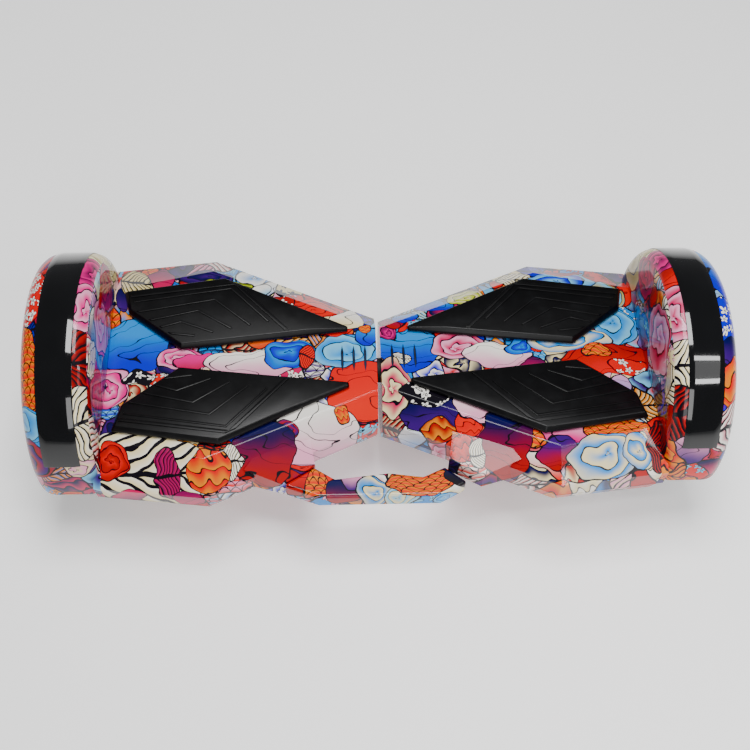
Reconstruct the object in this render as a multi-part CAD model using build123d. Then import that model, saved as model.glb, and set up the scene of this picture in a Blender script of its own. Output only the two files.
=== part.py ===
"""Self-balancing board: two halves that twist about one tube, each on its own hub-motor wheel.

Frame: X runs along the board, +Y is its rear and -Y its front, where the carrying handle is.
+Z is up. The origin lies on the floor below the middle of the axle line. Lengths are millimetres.

Each sub-part of a half is built once on the +X side. The left half is its mirror image. The right
half is turned a little about the axle line, because the halves stand slightly twisted at rest.
"""

import os
from math import asin, cos, degrees, pi, radians, sin, sqrt

from build123d import *

os.makedirs("parts", exist_ok=True)

# ---------------------------------------------------------------- driving dimensions
TYRE_R = 100.0  # eight inch tyre
TYRE_WIDTH = 46.0
HALF_LENGTH = 318.0  # middle of the board to the outside of a fender
CENTRE_GAP = 4.0  # slot between the two halves
REST_TWIST = 5.0  # degrees, right half's front edge raised
TWIST_LIMIT = 15.0  # degrees each way from level

WALL = 3.0  # moulded shell
FENDER_WIDTH = 61.0
FENDER_R = 119.0
FENDER_DROP = 5.0  # fender arc's centre below the axle
FENDER_INNER_ROUND = 14.0
FENDER_OUTER_ROUND = 18.0
ARCH_R = 84.0  # opening in the fender's outer face
APEX_X = 162.0  # where a half is deepest

DECK_RISE = 22.0  # axle up to the deck
PARTING_DROP = 22.0  # axle down to the seam between the shells
WAIST_DROP = 42.0  # axle down to the lower fold
FLOOR_DROP = 60.0  # axle down to the underside

RIM_DEPTH = (60.5, 135.0, 124.0)  # half depths at the middle, the apex and the fender
DECK_DEPTH = (34.5, 106.0, 84.0)
PARTING_INSET = 3.0
WAIST_INSET = 12.0
FLOOR_INSET = 36.0
FOLD_ROUND = 2.5
SEAM_TALL = 0.7  # shadow gap along the seam
SEAM_DEEP = 1.0

PAD_THICK = 10.0  # deck up to the tread
PAD_GAP = 1.8  # air under a pad's rim, so that it can be pressed
PAD_TRAVEL = 1.5
PAD_SKIRT = 2.5  # upright part of a pad's edge
PAD_DRAFT = 3.5  # how far the tread is set in from the edge
PAD_OUTLINE = [  # plan of a rear pad, from the tip round by the apex
    (29.0, 34.0),
    (149.0, 93.5),
    (247.0, 78.0),
    (241.0, 52.0),
    (189.0, 10.5),
    (29.5, 29.5),
]
PAD_FACET = [(140.0, 94.0, 0.0), (76.0, 22.0, 0.0), (20.0, 32.0, -4.5)]  # tip's sloping face
TREAD_RIBS = 5
RIB_PITCH = 11.0
GROOVE_WIDTH = 1.6
GROOVE_DEPTH = 1.0
POST_R = 4.0
POST_POINTS = [(120.0, 50.0), (186.0, 50.0)]

STRIP_INSET = (13.0, 16.0)  # from the fender's inner and outer walls
STRIP_THICK = 1.2
STRIP_HALF_ANGLE = 74.0

SLIT_X = (13.0, 24.0, 35.0)
SLIT_HALF = 15.0
SLIT_WIDTH = 2.6
LENS_THICK = 3.0
LENS_MARGIN = 3.0
LENS_SINK = 0.8  # blades stop below the deck

STUB = [(66.0, -80.0), (62.0, -103.0), (92.0, -121.5), (127.0, -111.0), (118.0, -99.0)]
STUB_FACET = [(91.0, -91.0, 10.0), (117.0, -103.0, 10.0), (92.0, -121.5, -2.0)]  # z from the axle
HANDLE_DROP = (21.0, 2.0)  # axle down to the handle's underside and top
HANDLE_ROUND = 3.0
HANDLE_BAR = [  # plan, from the seam on the left stub round the outside and back
    (-90.0, -120.5),
    (-88.0, -124.0),
    (-59.0, -135.0),
    (54.0, -135.0),
    (79.0, -121.5),
    (58.5, -105.5),
    (38.0, -115.0),
    (6.0, -110.5),
    (-44.0, -116.0),
    (-62.5, -103.8),
]
TENON = (16.0, 14.0, 10.0)  # handle's tenon in the left stub: reach, width, height
TENON_AT = (-77.0, -112.25)
TENON_ANGLE = 31.7  # degrees, direction of the stub's end face in plan
HANDLE_SCREW_R = 1.6
HANDLE_SCREW_SPREAD = 4.0  # each side of the tenon's middle

AXLE_R = 8.0
TUBE_R = 9.0
TUBE_WALL = 2.5
TUBE_X = (-44.0, 50.0)
SLEEVE_WALL = 3.0
HOUSING_WALL = 3.5
HOUSING_X = (8.0, 46.0)
BUSH_WALL = 2.4
BUSH_LENGTH = 11.0
COLLAR_LIP = 1.0  # beyond the bushes
COLLAR_LENGTH = 3.0
STOP_X = 27.0
STOP_R = 2.5

TRAY_END_GAP = 7.0  # to the fender's wall
TRAY_WIDE_X = 72.0
TRAY_HALF = (27.0, 46.0)  # half width near the middle and past TRAY_WIDE_X
TRAY_DROP = 50.0  # axle down to the underside of the tray
TRAY_THICK = 4.0
RAIL_THICK = 4.0
RAIL_TALL = 26.0
WEB_HALF = 9.0
BLOCK_LENGTH = 36.0
BLOCK_END_GAP = 2.0  # to the tray's end
BLOCK_HALF = 26.0
CLAMP_TALL = 13.0
CLAMP_BOLT_R = 3.0
CLAMP_HEAD_R = 5.0
CLAMP_HEAD_TALL = 4.0
CLAMP_BOLT_AT = [(8.0, 17.0), (28.0, 17.0)]  # from the block's inner end
TRAY_FEET = [(96.0, 36.0), (150.0, 36.0), (204.0, 36.0)]

CELL_R = 9.2
CELL_LENGTH = 65.0
CELL_ROWS = (7, 6, 7)
BATTERY_X = 50.0
BATTERY_WALL = 1.5
BATTERY_Y = 4.0  # towards the rear, against the handle's weight

SENSOR_DROP = 13.0  # deck down to the board
SENSOR_X = (108.0, 198.0)
SENSOR_HALF = 58.0
BOARD_THICK = 1.6
STRUT_X = (190.0, 196.0)

MAIN_X = (60.0, 180.0)
MAIN_HALF = 36.0
MAIN_LIFT = 8.0
CAPACITOR_R = 7.0
CAPACITOR_TALL = 20.0
CAPACITOR_X = (80.0, 106.0, 132.0, 158.0)
SWITCH_STRIP_X = (74.0, 92.0, 110.0, 128.0, 146.0, 164.0)  # power transistors
SWITCH_STRIP_SIZE = (10.0, 5.0, 15.0)

SPEAKER_R = 13.0  # flange
SPEAKER_CAN_R = 10.0
SPEAKER_TALL = (3.0, 12.0)  # flange and whole
SPEAKER_AT = (196.0, 0.0)

SOCKET_AT = (130.0, 62.0)
SOCKET_R = 8.0
SOCKET_BORE_R = 6.0
SOCKET_TALL = 16.0
SOCKET_PIN_R = 0.9
SOCKET_PIN_SPREAD = 3.0
FLANGE_R = 10.5
CAP_R = 11.5
CAP_THICK = 2.0
CAP_HINGE_R = 1.2
CAP_SWING = 110.0

BUTTON_AT = (98.0, 57.0)
BUTTON_R = 6.5
BUTTON_TRAVEL = 1.0
BUTTON_PROUD = 1.2
BUTTON_FLANGE_R = 8.0
SWITCH_R = 7.0
SWITCH_TALL = 10.0

BOSS_R = 5.0
LOWER_BOSS_R = 6.5
SCREW_R = 1.6
SCREW_HEAD_R = 3.8
SCREW_HEAD_TALL = 3.0
SCREW_SEAT_DROP = 36.0  # axle down to the screw heads' seats
SCREW_REACH = 10.0  # above the axle
SCREW_POINTS = [(24.0, 50.0), (92.0, 84.0), (160.0, 110.0), (226.0, 102.0)]
VENT_COUNT = 6
VENT_PITCH = 8.0
VENT_X = 110.0
VENT_HALF = 18.0
VENT_WIDTH = 3.0

HUB_R = 70.0
HUB_DISC = 4.5
RIM_THICK = 4.0
BEARING_WALL = 5.0
BEARING_WIDTH = 6.0
MAGNET_COUNT = 20
MAGNET_THICK = 3.0
MAGNET_FILL = 0.86  # share of the rotor's round that magnets cover
MAGNET_GAP = 1.0  # air gap between stator and magnets
ROTOR_WALL = 3.0
STATOR_WIDTH = 24.0
STATOR_R = 58.0
STATOR_CORE_R = 34.0
TOOTH_COUNT = 18
TOOTH_WIDTH = 5.5
COIL_BUILD = 2.0  # thickness of winding on a tooth
TREAD_ROUND = 12.0

FIT = 0.1  # running clearance on a radius
LOOSE = 0.3  # clearance between neighbouring bodies

# ---------------------------------------------------------------- derived places
AXLE_Z = TYRE_R
RIM_Z = AXLE_Z
DECK_Z = AXLE_Z + DECK_RISE
PARTING_Z = AXLE_Z - PARTING_DROP
WAIST_Z = AXLE_Z - WAIST_DROP
FLOOR_Z = AXLE_Z - FLOOR_DROP
END_X = CENTRE_GAP / 2
FENDER_X = HALF_LENGTH - FENDER_WIDTH
STRIP_X = (FENDER_X + STRIP_INSET[0], HALF_LENGTH - STRIP_INSET[1])
FENDER_Z = AXLE_Z - FENDER_DROP
TRAY_Z = AXLE_Z - TRAY_DROP
TRAY_TOP = TRAY_Z + TRAY_THICK
TRAY_X = (HOUSING_X[0], FENDER_X - TRAY_END_GAP)
BLOCK_X = (TRAY_X[1] - BLOCK_END_GAP - BLOCK_LENGTH, TRAY_X[1] - BLOCK_END_GAP)
CLAMP_BOLTS = [(BLOCK_X[0] + x, y) for x, y in CLAMP_BOLT_AT]
BUSH_R = TUBE_R + FIT + BUSH_WALL
HOUSING_R = BUSH_R + HOUSING_WALL
COLLAR_R = BUSH_R + COLLAR_LIP
SLEEVE_R = TUBE_R + SLEEVE_WALL
BEARING_R = AXLE_R + BEARING_WALL
WELL_X = (FENDER_X + WALL, HALF_LENGTH - WALL)
WHEEL_X = (WELL_X[0] + WELL_X[1]) / 2
TYRE_X = (WHEEL_X - TYRE_WIDTH / 2, WHEEL_X + TYRE_WIDTH / 2)
SCREW_SEAT_Z = AXLE_Z - SCREW_SEAT_DROP
PAD_TOP_Z = DECK_Z + PAD_THICK
LENS_LOW_Z = DECK_Z - WALL - LENS_THICK
SENSOR_Z = DECK_Z - SENSOR_DROP
HANDLE_Z = (AXLE_Z - HANDLE_DROP[0], AXLE_Z - HANDLE_DROP[1])
PAD_LOW_Z = DECK_Z + PAD_GAP
POST_END_Z = DECK_Z - WALL - 1.0
MAGNET_R = STATOR_R + MAGNET_GAP
ROTOR_R = MAGNET_R + MAGNET_THICK
AXLE_LINE = Axis((0, 0, AXLE_Z), (1, 0, 0))


# ---------------------------------------------------------------- helpers
def depth_at(depths, x):
    """Half depth of an outline at a distance x from the middle."""
    if x <= APEX_X:
        return depths[0] + (depths[1] - depths[0]) * x / APEX_X
    return depths[1] + (depths[2] - depths[1]) * (x - APEX_X) / (FENDER_X - APEX_X)


def level_face(z, depths, x, inset=0.0):
    """Level face of a half between two stations, its front and rear edges moved in by inset."""
    side = [(at, depth_at(depths, at) - inset) for at in (x[0], APEX_X, x[1])]
    other = [(at, -y) for at, y in reversed(side)]
    return Pos(0, 0, z) * make_face(Polyline(*side, *other, close=True))


def block(low, high, x):
    """Solid between two level faces, each given as (height, depths, inset)."""
    faces = [level_face(z, depths, x, inset) for z, depths, inset in (low, high)]
    return loft(faces, ruled=True)


def box(x, y, z):
    """Box between (low, high) pairs along X, Y and Z."""
    size = [pair[1] - pair[0] for pair in (x, y, z)]
    middle = [(pair[1] + pair[0]) / 2 for pair in (x, y, z)]
    return Pos(*middle) * Box(*size)


def rod(x, radius, y=0.0, z=AXLE_Z):
    """Round bar along X between two stations."""
    return Pos(x[0], y, z) * Rot(0, 90, 0) * extrude(Circle(radius), x[1] - x[0])


def ring(x, inner, outer):
    """Ring about the axle line."""
    return rod(x, outer) - rod((x[0] - 1, x[1] + 1), inner)


def post(x, y, z, radius):
    """Upright round bar between two heights."""
    return Pos(x, y, z[0]) * extrude(Circle(radius), z[1] - z[0])


def turned(points):
    """Solid of revolution about the axle line, from (x, radius) points."""
    face = make_face(Polyline(*[(x, 0, r) for x, r in points], close=True))
    return Pos(0, 0, AXLE_Z) * revolve(face, Axis.X, 360)


def prism(points, z):
    """Upright prism on a plan outline between two heights."""
    face = make_face(Polyline(*points, close=True))
    return Pos(0, 0, z[0]) * extrude(face, z[1] - z[0])


def around(shape, count):
    """Copies of a shape, evenly round the axle line."""
    return [shape.rotate(AXLE_LINE, 360.0 * i / count) for i in range(count)]


def both_ways(points):
    """Each plan point and its mirror image across the X axis."""
    return [(x, side * y) for x, y in points for side in (1, -1)]


def above(points, lift):
    """Large slab above the plane through three points, each raised by lift."""
    a, b, c = [Vector(x, y, z + lift) for x, y, z in points]
    normal = (b - a).cross(c - a)
    if normal.Z < 0:
        normal = -normal
    plane = Plane(origin=a, x_dir=b - a, z_dir=normal)
    return plane * Pos(0, 0, 50) * Box(600, 600, 100)


def front_rear(shape):
    """Mirror image of a rear sub-part at the front."""
    return mirror(shape, about=Plane.XZ)


# ---------------------------------------------------------------- shells
def fender_face(inset):
    """Half section of the fender, on the XZ plane above its arc's centre."""
    x0, x1 = FENDER_X + inset, HALF_LENGTH - inset
    top = FENDER_R - inset
    r0, r1 = FENDER_INNER_ROUND - inset, FENDER_OUTER_ROUND - inset
    corner = sqrt(0.5)
    edges = [
        Line((x0, 0, 0), (x0, 0, top - r0)),
        ThreePointArc(
            (x0, 0, top - r0),
            (x0 + r0 * (1 - corner), 0, top - r0 * (1 - corner)),
            (x0 + r0, 0, top),
        ),
        Line((x0 + r0, 0, top), (x1 - r1, 0, top)),
        ThreePointArc(
            (x1 - r1, 0, top),
            (x1 - r1 * (1 - corner), 0, top - r1 * (1 - corner)),
            (x1, 0, top - r1),
        ),
        Line((x1, 0, top - r1), (x1, 0, 0)),
        Line((x1, 0, 0), (x0, 0, 0)),
    ]
    return make_face(edges)


def dome(inset, low):
    """Fender body above a height."""
    whole = Pos(0, 0, FENDER_Z) * revolve(fender_face(inset), Axis.X, 360)
    return whole & box((FENDER_X - 1, HALF_LENGTH + 1), (-200, 200), (low, 300))


def upper_form():
    """Outside of the upper shell, before the stub and the openings."""
    x = (END_X, FENDER_X + 6)
    slope = block((RIM_Z, RIM_DEPTH, 0), (DECK_Z, DECK_DEPTH, 0), x)
    skirt = block((PARTING_Z, RIM_DEPTH, PARTING_INSET), (RIM_Z, RIM_DEPTH, 0), x)
    folds = [e for e in slope.edges() if e.bounding_box().min.Z > DECK_Z - 0.1]
    folds = [e for e in folds if e.bounding_box().size.X > 1]
    return fillet(folds, FOLD_ROUND) + skirt + dome(0, PARTING_Z)


def upper_cavity():
    """Space inside the upper shell's body."""
    x = (END_X + WALL, FENDER_X - WALL)
    low = (PARTING_Z - 1, RIM_DEPTH, PARTING_INSET + WALL)
    rim = (RIM_Z, RIM_DEPTH, WALL * 1.25)
    high = (DECK_Z - WALL, DECK_DEPTH, WALL * 0.2)
    return block(low, rim, x) + block(rim, high, x)


def stub():
    """Block on the front edge of a half, beside the handle's end."""
    solid = prism(STUB, (PARTING_Z + 1, DECK_Z))
    return solid - above(STUB_FACET, AXLE_Z)


def slit(x, z, shrink):
    """Pointed indicator slit across the deck, narrowed all round by shrink."""
    half, wide = SLIT_HALF - 2 * shrink, SLIT_WIDTH / 2 - shrink
    right = [(x, half), (x + wide, half / 2), (x + wide, -half / 2)]
    left = [(x, -half), (x - wide, -half / 2), (x - wide, half / 2)]
    return prism(right + left, z)


def seam_groove():
    """Shadow gap cut round the outside of the upper shell at the seam."""
    x = (0, FENDER_X)
    z = (PARTING_Z, PARTING_Z + SEAM_TALL)
    outer = block((z[0], RIM_DEPTH, -1), (z[1], RIM_DEPTH, -1), x)
    inset = PARTING_INSET + SEAM_DEEP
    inner = block((z[0], RIM_DEPTH, inset), (z[1], RIM_DEPTH, inset), x)
    return outer - inner


def top_shell():
    """Upper casing of a half, with its fender and stub."""
    form = upper_form()
    shell = form - upper_cavity() - dome(WALL, PARTING_Z - 1)
    for x, y in both_ways(SCREW_POINTS):
        column = post(x, y, (PARTING_Z, DECK_Z), BOSS_R)
        shell += column & form
        shell -= post(x, y, (PARTING_Z - 1, RIM_Z + SCREW_REACH + 1), SCREW_R)
    shell += stub()
    for x, y in both_ways(POST_POINTS):
        shell -= post(x, y, (DECK_Z - 2 * WALL, DECK_Z + 1), POST_R + LOOSE)
    for x in SLIT_X:
        shell -= slit(x, (DECK_Z - WALL - 1, DECK_Z + 1), 0)
    shell -= rod((0, END_X + WALL + 1), SLEEVE_R + 2 * LOOSE)
    wall_x = (FENDER_X - WALL - 1, FENDER_X + WALL + 1)
    slot_r = AXLE_R + 2
    shell -= rod(wall_x, slot_r)
    shell -= box(wall_x, (-slot_r, slot_r), (PARTING_Z - 1, AXLE_Z))
    shell -= rod((HALF_LENGTH - 2 * WALL, HALF_LENGTH + 1), ARCH_R)
    return shell - seam_groove()


def lower_form(inset):
    """Outside of the lower shell, or its cavity when inset is the wall."""
    x = (END_X + inset, FENDER_X - inset)
    rim = (PARTING_Z, RIM_DEPTH, PARTING_INSET + inset)
    waist = (WAIST_Z, RIM_DEPTH, WAIST_INSET + inset)
    floor = (FLOOR_Z + inset, RIM_DEPTH, FLOOR_INSET + inset * 0.8)
    return block(waist, rim, x) + block(floor, waist, x)


def bottom_shell():
    """Lower casing of a half."""
    form = lower_form(0)
    shell = form - lower_form(WALL)
    for x, y in both_ways(SCREW_POINTS):
        shell += post(x, y, (FLOOR_Z, PARTING_Z), LOWER_BOSS_R) & form
        shell -= post(x, y, (FLOOR_Z - 1, PARTING_Z + 1), SCREW_R + FIT)
        shell -= post(x, y, (FLOOR_Z - 1, SCREW_SEAT_Z), SCREW_HEAD_R + LOOSE)
    for x, y in both_ways(TRAY_FEET):
        shell += post(x, y, (FLOOR_Z + WALL / 2, TRAY_Z), BOSS_R)
    for i in range(VENT_COUNT):
        x = VENT_X + VENT_PITCH * i
        slot_x = (x - VENT_WIDTH / 2, x + VENT_WIDTH / 2)
        shell -= box(slot_x, (-VENT_HALF, VENT_HALF), (FLOOR_Z - 1, FLOOR_Z + WALL + 1))
    return shell


def shell_screws():
    """The eight casing screws of a half, driven up from below."""
    screws = []
    for x, y in both_ways(SCREW_POINTS):
        head_z = (SCREW_SEAT_Z - SCREW_HEAD_TALL, SCREW_SEAT_Z)
        head = post(x, y, head_z, SCREW_HEAD_R)
        shank = post(x, y, (SCREW_SEAT_Z, RIM_Z + SCREW_REACH), SCREW_R)
        socket = Pos(x, y, head_z[0]) * extrude(RegularPolygon(1.6, 6), 1.6)
        screws.append(head + shank - socket)
    return screws


# ---------------------------------------------------------------- handle
def tenon(shrink):
    """Handle's tenon, pointing into the left stub, narrowed all round by shrink."""
    reach, width, tall = TENON
    middle_z = (HANDLE_Z[0] + HANDLE_Z[1]) / 2
    size = (width - 2 * shrink, 2 * (reach - shrink), tall - 2 * shrink)
    return Pos(TENON_AT[0], TENON_AT[1], middle_z) * Rot(0, 0, TENON_ANGLE) * Box(*size)


def seam_side():
    """Slab on the handle's side of the seam with the left stub."""
    place = Pos(TENON_AT[0], TENON_AT[1], AXLE_Z) * Rot(0, 0, TENON_ANGLE)
    return place * Pos(0, -100, 0) * Box(400, 200, 200)


def handle_screw_places():
    """Plan points of the two screws that hold the tenon."""
    reach = TENON[0]
    angle = radians(TENON_ANGLE)
    inward = (-sin(angle), cos(angle))
    along = (cos(angle), sin(angle))
    spread = (-HANDLE_SCREW_SPREAD, HANDLE_SCREW_SPREAD)
    middle = (TENON_AT[0] + inward[0] * reach / 2, TENON_AT[1] + inward[1] * reach / 2)
    return [(middle[0] + along[0] * d, middle[1] + along[1] * d) for d in spread]


def carry_handle():
    """Carrying handle, fixed to the left stub and free at its right end."""
    bar = prism(HANDLE_BAR, HANDLE_Z)
    bar = fillet(bar.edges().filter_by(GeomType.LINE).filter_by(Axis.Z), HANDLE_ROUND * 0.8)
    level = [e for e in bar.edges() if e.bounding_box().size.Z < 0.01]
    bar = fillet(level, HANDLE_ROUND)
    bar = (bar & seam_side()) + tenon(0)
    for x, y in handle_screw_places():
        bar -= post(x, y, (HANDLE_Z[0] - 1, HANDLE_Z[1] - 4), HANDLE_SCREW_R)
    return bar


def handle_screws():
    """Two screws through the left stub into the tenon."""
    screws = []
    for x, y in handle_screw_places():
        head = post(x, y, (HANDLE_Z[0] - 2.0, HANDLE_Z[0]), SCREW_HEAD_R)
        shank = post(x, y, (HANDLE_Z[0], HANDLE_Z[1] - 5), HANDLE_SCREW_R)
        screws.append(head + shank)
    return screws


# ---------------------------------------------------------------- pads, strips and lenses
def pad_ribs():
    """Chevron grooves in a pad's tread, along its apex and outer edges."""
    cuts = []
    for i in range(TREAD_RIBS):
        reach = RIB_PITCH * (i + 0.6)
        corner = (134.0 + reach * 1.2, 85.0 - reach)
        foot = (96.0 + reach * 1.35, 40.0 - reach * 0.3)
        end = (236.0, 70.0 - reach)
        for start, stop in ((foot, corner), (corner, end)):
            groove = trace(Line(start, stop), GROOVE_WIDTH)
            cuts.append(Pos(0, 0, PAD_TOP_Z - GROOVE_DEPTH) * extrude(groove, 3))
    return cuts


def rear_pad():
    """Rear foot pad: a ribbed rubber slab with two sensor posts."""
    face = make_face(Polyline(*PAD_OUTLINE, close=True))
    fold_z = PAD_LOW_Z + PAD_SKIRT
    skirt = Pos(0, 0, PAD_LOW_Z) * extrude(face, PAD_SKIRT)
    tread = offset(face, amount=-PAD_DRAFT, kind=Kind.INTERSECTION)
    slab = skirt + loft([Pos(0, 0, fold_z) * face, Pos(0, 0, PAD_TOP_Z) * tread], ruled=True)
    slab -= above(PAD_FACET, PAD_TOP_Z)
    for cut in pad_ribs():
        slab -= cut
    for x, y in POST_POINTS:
        slab += post(x, y, (POST_END_Z, PAD_LOW_Z), POST_R)
    return slab


def fender_strip():
    """Glossy black strip over a fender's crown."""
    x0, x1 = STRIP_X
    low, high = FENDER_R, FENDER_R + STRIP_THICK
    corners = [(x0, 0, low), (x1, 0, low), (x1, 0, high), (x0, 0, high)]
    face = make_face(Polyline(*corners, close=True))
    arc = revolve(face, Axis.X, 2 * STRIP_HALF_ANGLE)
    return Pos(0, 0, FENDER_Z) * arc.rotate(Axis.X, -STRIP_HALF_ANGLE)


def indicator_lens():
    """Smoked light bar under the deck, with three blades that stand in the slits."""
    bar_x = (SLIT_X[0] - LENS_MARGIN, SLIT_X[-1] + LENS_MARGIN)
    bar_y = (-SLIT_HALF - LENS_MARGIN, SLIT_HALF + LENS_MARGIN)
    bar_z = (LENS_LOW_Z, DECK_Z - WALL)
    lens = box(bar_x, bar_y, bar_z)
    for x in SLIT_X:
        lens += slit(x, (bar_z[0], DECK_Z - LENS_SINK), 2 * FIT)
    return lens


# ---------------------------------------------------------------- frame and pivot
def tray():
    """Floor plate, rails and sensor pillars of a half's frame."""
    z = (TRAY_Z, TRAY_TOP)
    rail_z = (TRAY_TOP, TRAY_TOP + RAIL_TALL)
    narrow, wide = TRAY_HALF
    frame = box((TRAY_X[0], TRAY_WIDE_X), (-narrow, narrow), z)
    frame += box((TRAY_WIDE_X, TRAY_X[1]), (-wide, wide), z)
    for side in (1, -1):
        inner, outer = side * (wide - RAIL_THICK), side * wide
        rail_y = (min(inner, outer), max(inner, outer))
        frame += box((TRAY_WIDE_X, TRAY_X[1]), rail_y, rail_z)
        frame += box(STRUT_X, rail_y, (TRAY_TOP, SENSOR_Z))
    return frame


def half_frame(bore):
    """Cast frame of a half, with its pivot housing and axle block."""
    frame = tray()
    frame += rod(HOUSING_X, HOUSING_R)
    frame += box(HOUSING_X, (-WEB_HALF, WEB_HALF), (TRAY_TOP, AXLE_Z))
    frame += box(BLOCK_X, (-BLOCK_HALF, BLOCK_HALF), (TRAY_TOP, AXLE_Z))
    frame -= rod((BLOCK_X[0] - 1, BLOCK_X[1] + 1), AXLE_R)
    frame -= rod((HOUSING_X[0] - 1, HOUSING_X[1] + 1), bore)
    frame -= box((0, HOUSING_X[1] + 1), (-HOUSING_R, HOUSING_R), (LENS_LOW_Z - LOOSE, DECK_Z))
    for x, y in both_ways(CLAMP_BOLTS):
        frame -= post(x, y, (AXLE_Z - 20, AXLE_Z + 1), CLAMP_BOLT_R)
    return frame


def stop_window():
    """Window in the right housing that lets the stop pin swing to the limits."""
    angle = radians(TWIST_LIMIT + degrees(asin(STOP_R / TUBE_R)) + 1.0)
    reach = 2 * HOUSING_R
    x = (STOP_X - STOP_R - LOOSE, STOP_X + STOP_R + LOOSE)
    points = [
        (x[0], 0, AXLE_Z),
        (x[0], reach * sin(angle), AXLE_Z + reach * cos(angle)),
        (x[0], -reach * sin(angle), AXLE_Z + reach * cos(angle)),
    ]
    face = make_face(Polyline(*points, close=True))
    return extrude(face, x[1] - x[0], dir=(1, 0, 0))


def axle_clamp():
    """Cap that holds the axle down in its block."""
    clamp = box(BLOCK_X, (-BLOCK_HALF, BLOCK_HALF), (AXLE_Z, AXLE_Z + CLAMP_TALL))
    clamp -= rod((BLOCK_X[0] - 1, BLOCK_X[1] + 1), AXLE_R)
    for x, y in both_ways(CLAMP_BOLTS):
        clamp -= post(x, y, (AXLE_Z - 1, AXLE_Z + CLAMP_TALL + 1), CLAMP_BOLT_R)
    return chamfer(clamp.edges().filter_by(Axis.X).group_by(Axis.Z)[-1], 3.0)


def clamp_bolts():
    """Four bolts of an axle clamp."""
    bolts = []
    top = AXLE_Z + CLAMP_TALL
    for x, y in both_ways(CLAMP_BOLTS):
        head = Pos(x, y, top) * extrude(RegularPolygon(CLAMP_HEAD_R, 6), CLAMP_HEAD_TALL)
        bolts.append(head + post(x, y, (AXLE_Z - 18, top), CLAMP_BOLT_R))
    return bolts


def pivot_tube():
    """Steel tube fixed in the left housing, with its end collar and stop pin."""
    tube = ring(TUBE_X, TUBE_R - TUBE_WALL, TUBE_R)
    pin_z = (AXLE_Z + TUBE_R - TUBE_WALL, AXLE_Z + HOUSING_R - 1)
    return tube - post(STOP_X, 0, pin_z, STOP_R)


def stop_pin():
    """Pin that limits the twist between the halves."""
    pin_z = (AXLE_Z + TUBE_R - TUBE_WALL, AXLE_Z + HOUSING_R - 1)
    return post(STOP_X, 0, pin_z, STOP_R)


def pivot_collar():
    """Collar on the tube's end that keeps the right half on."""
    start = HOUSING_X[1] + LOOSE
    return ring((start, start + COLLAR_LENGTH), TUBE_R, COLLAR_R)


def pivot_bushes():
    """Two flanged bushes in the right housing."""
    low, high = HOUSING_X
    inner = TUBE_R + FIT
    return [
        ring((low, low + BUSH_LENGTH), inner, BUSH_R),
        ring((high - BUSH_LENGTH, high), inner, BUSH_R),
    ]


def dust_sleeve():
    """Rubber sleeve that closes the slot between the halves round the tube."""
    half = HOUSING_X[0] - LOOSE
    return ring((-HOUSING_X[0], half), TUBE_R, SLEEVE_R)


# ---------------------------------------------------------------- wheel and motor
def wheel_axle():
    """Fixed axle of a hub motor."""
    end = TYRE_X[1] - HUB_DISC - LOOSE
    shaft = rod((BLOCK_X[0], end), AXLE_R)
    return chamfer(shaft.edges().filter_by(GeomType.CIRCLE), 1.0)


def stator_x():
    """Stations of the stator's iron."""
    return (WHEEL_X - STATOR_WIDTH / 2, WHEEL_X + STATOR_WIDTH / 2)


def tooth(width, low, high, x):
    """One tooth above the axle line."""
    return box(x, (-width / 2, width / 2), (AXLE_Z + low, AXLE_Z + high))


def motor_stator():
    """Laminated stator on the axle."""
    x = stator_x()
    iron = ring(x, AXLE_R, STATOR_CORE_R)
    for part in around(tooth(TOOTH_WIDTH, STATOR_CORE_R - 2, STATOR_R - 2, x), TOOTH_COUNT):
        iron += part
    shoe = tooth(TOOTH_WIDTH * 2.6, STATOR_R - 6, STATOR_R + 6, x) & ring(x, STATOR_R - 2.5, STATOR_R)
    for part in around(shoe, TOOTH_COUNT):
        iron += part
    return iron


def stator_windings():
    """Eighteen coils round the teeth."""
    x = stator_x()
    coil_x = (x[0] - COIL_BUILD, x[1] + COIL_BUILD)
    width = TOOTH_WIDTH + 2 * COIL_BUILD
    coil = tooth(width, STATOR_CORE_R + 3, STATOR_R - 4, coil_x)
    coil -= tooth(TOOTH_WIDTH, STATOR_CORE_R, STATOR_R, x)
    return around(coil, TOOTH_COUNT)


def rotor_magnets():
    """Magnets on the inside of the rotor."""
    x = stator_x()
    band = ring(x, MAGNET_R, ROTOR_R)
    width = 2 * pi * MAGNET_R / MAGNET_COUNT * MAGNET_FILL
    one = band & tooth(width, MAGNET_R - 10, ROTOR_R + 10, x)
    return around(one, MAGNET_COUNT)


def motor_hub():
    """Rotor drum, outer disc and rim of a wheel, in one casting."""
    x0, x1 = TYRE_X
    inner = ROTOR_R
    points = [
        (x0, inner),
        (x0, HUB_R),
        (x1, HUB_R),
        (x1, BEARING_R - 3),
        (x1, 0.0),
        (x1 - HUB_DISC + 1.5, 0.0),
        (x1 - HUB_DISC + 1.5, BEARING_R - 3),
        (x1 - HUB_DISC, BEARING_R),
        (x1 - HUB_DISC - BEARING_WIDTH, BEARING_R),
        (x1 - HUB_DISC - BEARING_WIDTH, BEARING_R + 4),
        (x1 - HUB_DISC, BEARING_R + 6),
        (x1 - HUB_DISC, inner),
    ]
    return turned(points)


def hub_cover():
    """Inner cover of a wheel, with its bearing seat."""
    x0 = TYRE_X[0]
    points = [
        (x0, BEARING_R),
        (x0, ROTOR_R),
        (x0 + HUB_DISC, ROTOR_R),
        (x0 + HUB_DISC, BEARING_R + 6),
        (x0 + BEARING_WIDTH, BEARING_R + 4),
        (x0 + BEARING_WIDTH, BEARING_R),
    ]
    return turned(points)


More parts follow.
